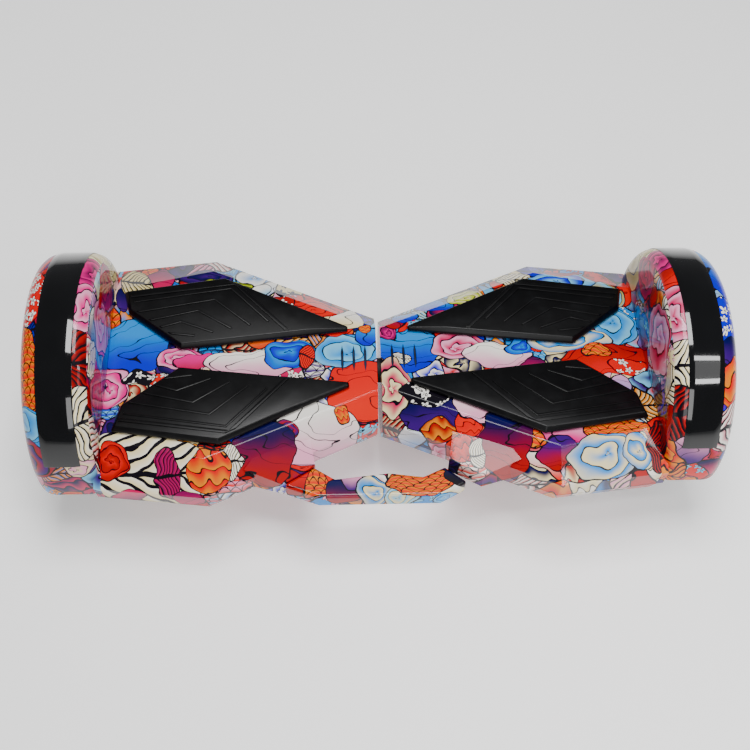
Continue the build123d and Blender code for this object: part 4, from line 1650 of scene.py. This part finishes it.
@dataclass
class HubFace:
    """Outer face of a hub motor: a disc with pocketed spokes, a cap and bolts.

    Attributes:
        start_x: Where the disc begins along X.
        thick: Its thickness.
        radius: Its radius.
        spokes: How many spokes and bolts it has.
        rings: Steps of its face on the way in, as (inset, rise) pairs.
        bolt_ring: The radius on which the bolts sit.
        bolt_radius: The radius of a bolt's head.
        bolt_tall: The length of a bolt that shows and sinks in.
    """

    start_x: float = 0.3105
    thick: float = 0.003
    radius: float = 0.067
    spokes: int = 6
    rings: tuple = (
        (0.004, 0.0),
        (0.0015, -0.0012),
        (0.026, 0.0),
        (0.003, 0.0),
        (0.006, 0.0012),
        (0.0015, 0.0008),
    )
    bolt_ring: float = 0.0485
    bolt_radius: float = 0.0035
    bolt_tall: float = 0.0034

    def build(self, side: Side, disc: bpy.types.Material, steel: bpy.types.Material) -> None:
        """Makes one hub face in place.

        Args:
            side: The half it belongs to.
            disc: The disc's finish.
            steel: The bolts' finish.
        """
        x = (self.start_x, self.start_x + self.thick)
        piece = Piece.tube("hub_face", x, self.radius, 96, AXLE_Z, True)
        for margin, depth in self.rings:
            piece.pick(Part.FACE, lambda p: p.x > x[1] - 0.0013 and math.hypot(p.y, p.z - AXLE_Z) < 0.001)
            bpy.ops.mesh.inset(thickness=margin, depth=depth)
            piece.end()
        pitch = FULL_TURN / self.spokes

        def pocket(p: Vector) -> bool:
            """Whether a face lies between two spokes.

            Args:
                p: The face's middle.

            Returns:
                True inside a pocket's bounds.
            """
            far = math.hypot(p.y, p.z - AXLE_Z)
            turn = (math.atan2(p.y, p.z - AXLE_Z) / pitch) % 1.0
            return p.x > x[0] + 0.0005 and 0.038 < far < 0.058 and 0.16 < turn < 0.84

        for i in range(self.spokes):
            low, high = i * pitch, (i + 1) * pitch

            def mine(p: Vector, a: float = low, b: float = high) -> bool:
                """Whether a face lies in this pocket."""
                return pocket(p) and a < math.atan2(p.y, p.z - AXLE_Z) % FULL_TURN < b

            piece.sink(mine, 0.0016, -0.0011)
        piece.round_edges(0.0006, 2, lambda p: math.hypot(p.y, p.z - AXLE_Z) > self.radius - 0.0005)
        piece.tidy()
        piece.put(half_matrix(side))
        piece.object.name = f"hub_face_{side.value}"
        piece.finish(disc, "hub", f"{side.value}_wheel")
        self.bolts(side, steel)
        LOG.info("hub face %s: %d faces", side.value, len(piece.object.data.polygons))

    def bolts(self, side: Side, steel: bpy.types.Material) -> None:
        """Makes button-head bolts, one on each spoke.

        Args:
            side: The half they belong to.
            steel: Their finish.
        """
        made = [self.bolt(FULL_TURN * i / self.spokes) for i in range(self.spokes)]
        first = made[0].join(made[1:])
        first.put(half_matrix(side))
        first.object.name = f"hub_bolts_{side.value}"
        first.finish(steel, "steel", f"{side.value}_wheel")

    def bolt(self, angle: float) -> Piece:
        """Makes one bolt with a domed head and a socket.

        Args:
            angle: Its place round the axle.

        Returns:
            The bolt.
        """
        y, z = self.bolt_ring * math.sin(angle), AXLE_Z + self.bolt_ring * math.cos(angle)
        bpy.ops.mesh.primitive_cylinder_add(
            vertices=24,
            radius=self.bolt_radius,
            depth=self.bolt_tall,
            location=(self.start_x + 0.0027, y, z),
            rotation=(0.0, math.pi / 2, 0.0),
        )
        bolt = Piece("hub_bolt")
        head = self.start_x + 0.0049

        def inner(p: Vector) -> bool:
            """Whether a face is at the middle of the head."""
            return p.x > head and math.hypot(p.y - y, p.z - z) < 0.0005

        bolt.sink(lambda p: p.x > self.start_x + 0.0043, 0.0004, 0.0006)
        bolt.sink(lambda p: p.x > head, 0.0012, 0.0)
        bolt.sink(inner, 0.0, -0.0012)
        return bolt


# ------------------------------------------------------------------ carried-over nodes
class Dressing(Protocol):
    """Anything with a name that makes a material."""

    name: str

    def build(self) -> bpy.types.Material:
        """Makes the material."""


@dataclass
class Workshop:
    """Makes each finish once and puts it on the nodes that use it."""

    made: dict[str, bpy.types.Material] = field(default_factory=dict)

    def material(self, finish: Dressing) -> bpy.types.Material:
        """The material of a finish, made when it is first asked for.

        Args:
            finish: The finish.

        Returns:
            Its material.
        """
        if finish.name not in self.made:
            self.made[finish.name] = finish.build()
            LOG.info("finish %s", finish.name)
        return self.made[finish.name]

    def paint(self, finish: Dressing, *nodes: str) -> None:
        """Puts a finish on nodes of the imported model.

        Args:
            finish: The finish.
            nodes: The nodes' names.
        """
        for node in nodes:
            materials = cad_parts[node].data.materials
            materials.clear()
            materials.append(self.material(finish))


STEEL = Finish("zinc_steel", 0x7E8287, 0xB9BCBF, (0.25, 0.4), metal=0.95)
CASTING = Finish("cast_aluminium", 0x85888B, 0xB4B7B9, (0.45, 0.6), metal=0.85, grain_depth=0.00015)
HUB = Finish("hub_enamel", 0x1B1C1E, 0x2B2D30, (0.35, 0.5), metal=0.3, coat=0.3, grain_depth=0.0001)
BRONZE = Finish("sintered_bronze", 0x7A5526, 0xB08442, (0.35, 0.5), metal=0.9)
SOFT = Finish("soft_rubber", 0x0D0D0E, 0x1A1A1B, (0.6, 0.8))
WRAP = Finish("shrink_wrap", 0x0C2F78, 0x1A4BA8, (0.25, 0.4), coat=0.4, grain_scale=300.0)
MOULDED = Finish("moulded_black", 0x0B0C0D, 0x17181A, (0.4, 0.6), grain_depth=0.0001)
LENS = Finish("smoked_lens", 0x0A1020, 0x1B2A44, (0.08, 0.16), coat=0.9, grain_depth=0.00001)
MAGNET = Finish("nickel_magnets", 0x8F9297, 0xC6C8CB, (0.2, 0.35), metal=1.0)
PRINTS = {
    Side.LEFT: PrintedShell("left_print", LEFT_PRINT),
    Side.RIGHT: PrintedShell("right_print", RIGHT_PRINT, twisted=True),
}
HANDLE = PrintedShell("handle_print", HANDLE_PRINT)


SIDE_FINISHES = (
    (LENS, "indicator_lens"),
    (CASTING, "frame axle_clamp"),
    (STEEL, "shell_screws clamp_bolts wheel_axle wheel_bearings"),
    (Laminate(), "motor_stator"),
    (Winding(), "stator_windings"),
    (MAGNET, "rotor_magnets"),
    (HUB, "motor_hub hub_cover"),
    (CircuitBoard(), "sensor_board"),
)
SINGLE_FINISHES = (
    (HANDLE, "carry_handle"),
    (STEEL, "handle_screws pivot_tube stop_pin pivot_collar"),
    (BRONZE, "pivot_bushes"),
    (SOFT, "dust_sleeve charge_cap"),
    (WRAP, "battery_pack"),
    (CircuitBoard(), "main_board"),
    (MOULDED, "speaker charge_socket power_button power_switch"),
)


def paint_nodes(shop: Workshop) -> None:
    """Gives every carried-over node its finish.

    Args:
        shop: What makes the finishes.
    """
    for side in Side:
        shop.paint(PRINTS[side], f"top_shell_{side.value}", f"bottom_shell_{side.value}")
        for finish, names in SIDE_FINISHES:
            shop.paint(finish, *[f"{name}_{side.value}" for name in names.split()])
    for finish, names in SINGLE_FINISHES:
        shop.paint(finish, *names.split())


# ------------------------------------------------------------------ stage
@dataclass(frozen=True)
class PaleFloor:
    """Matt white studio floor, clear from below so that the underside can be seen."""

    name: str = "pale_floor"

    def build(self) -> bpy.types.Material:
        """Makes the material.

        Returns:
            The material.
        """
        g = Graph(self.name)
        cloud = g.noise(g.place(), 1.5, 3.0)
        g.set(Base_Color=g.mix(cloud, linear(0xF4F4F3), linear(0xFAFAFA)), Roughness=0.85)
        below = g.node("ShaderNodeNewGeometry", out="Backfacing")
        g.set(Emission_Color=(1.0, 1.0, 1.0, 1.0), Emission_Strength=0.3, Alpha=1.0 - below)
        return g.material


@dataclass(frozen=True)
class Lamp:
    """A soft rectangular light.

    Attributes:
        name: Its name.
        at: Its place.
        size: Its sides.
        power: Its power in watts.
        aim: What it faces.
    """

    name: str
    at: Point
    size: Range
    power: float
    aim: Point

    def build(self) -> None:
        """Makes the light."""
        data = bpy.data.lights.new(self.name, "AREA")
        data.shape = "RECTANGLE"
        data.size, data.size_y = self.size
        data.energy = self.power
        lamp = bpy.data.objects.new(self.name, data)
        lamp.location = self.at
        lamp.visible_camera = False
        way = Vector(self.aim) - Vector(self.at)
        lamp.rotation_euler = way.to_track_quat("-Z", "Y").to_euler()
        bpy.context.collection.objects.link(lamp)


BOARD_MIDDLE = (-0.00314, -0.00545, 0.1)
# The last three lights are the bars and the glass of a window, which shine on the right strip.
LAMPS = (
    Lamp("top", (0.0, 0.12, 2.2), (0.8, 1.1), 52.0, BOARD_MIDDLE),
    Lamp("front", (0.0, -2.2, 1.2), (0.9, 1.2), 19.0, BOARD_MIDDLE),
    Lamp("far_bar", (0.59, -0.39, 1.0), (0.5, 0.07), 2.4, (0.59, -0.39, 0.0)),
    Lamp("near_bar", (0.69, -0.84, 1.0), (0.5, 0.12), 4.6, (0.69, -0.84, 0.0)),
    Lamp("glass", (0.64, -0.6, 1.0), (0.5, 0.32), 1.1, (0.64, -0.6, 0.0)),
)


@dataclass
class Studio:
    """Pale floor, soft lights and the camera."""

    elevation: float = math.radians(57.76)
    yaw: float = math.radians(4.74)
    roll: float = math.radians(3.23)
    distance: float = 1.0898
    target: Point = BOARD_MIDDLE
    lens: float = 53.77
    sensor: float = 36.0
    floor_size: float = 12.0
    sky: tuple = (0.95, 0.96, 1.0, 1.0)
    sky_strength: float = 0.16

    def floor(self) -> None:
        """Large pale floor below the wheels."""
        bpy.ops.mesh.primitive_plane_add(size=self.floor_size, location=(0.0, 0.0, 0.0))
        floor = bpy.context.object
        floor.name = "floor"
        floor.data.materials.append(PaleFloor().build())

    def world(self) -> None:
        """Even pale surroundings."""
        world = bpy.data.worlds.new("pale")
        world.use_nodes = True
        background = world.node_tree.nodes["Background"]
        background.inputs[0].default_value = self.sky
        background.inputs[1].default_value = self.sky_strength
        bpy.context.scene.world = world

    def camera(self) -> None:
        """Camera at the viewing angle."""
        e, a, r = self.elevation, self.yaw, self.roll
        forward = Vector((math.sin(a) * math.cos(e), math.cos(a) * math.cos(e), -math.sin(e)))
        right = Vector((math.cos(a), -math.sin(a), 0.0))
        up = right.cross(forward)
        turned = right * math.cos(r) + up * math.sin(r)
        upright = up * math.cos(r) - right * math.sin(r)
        place = Vector(self.target) - forward * self.distance
        matrix = Matrix((turned, upright, -forward)).transposed().to_4x4()
        matrix.translation = place
        data = bpy.data.cameras.new("camera")
        data.lens = self.lens
        data.sensor_width = self.sensor
        camera = bpy.data.objects.new("camera", data)
        camera.matrix_world = matrix
        bpy.context.collection.objects.link(camera)
        bpy.context.scene.camera = camera

    def build(self) -> None:
        """Sets the whole stage."""
        self.floor()
        self.world()
        for lamp in LAMPS:
            lamp.build()
        self.camera()
        LOG.info("stage ready")


def main() -> None:
    """Builds every piece in order."""
    logging.basicConfig(level=logging.INFO, format="%(message)s")
    shop = Workshop()
    paint_nodes(shop)
    for side in Side:
        for end in End:
            FootPad().build(side, end, shop.material(PadRubber()))
        Tyre().build(side, shop.material(TyreRubber()))
        FenderStrip().build(side, shop.material(GlossStrip()))
        HubFace().build(side, shop.material(HUB), shop.material(STEEL))
    Studio().build()


if __name__ == "__main__":
    main()
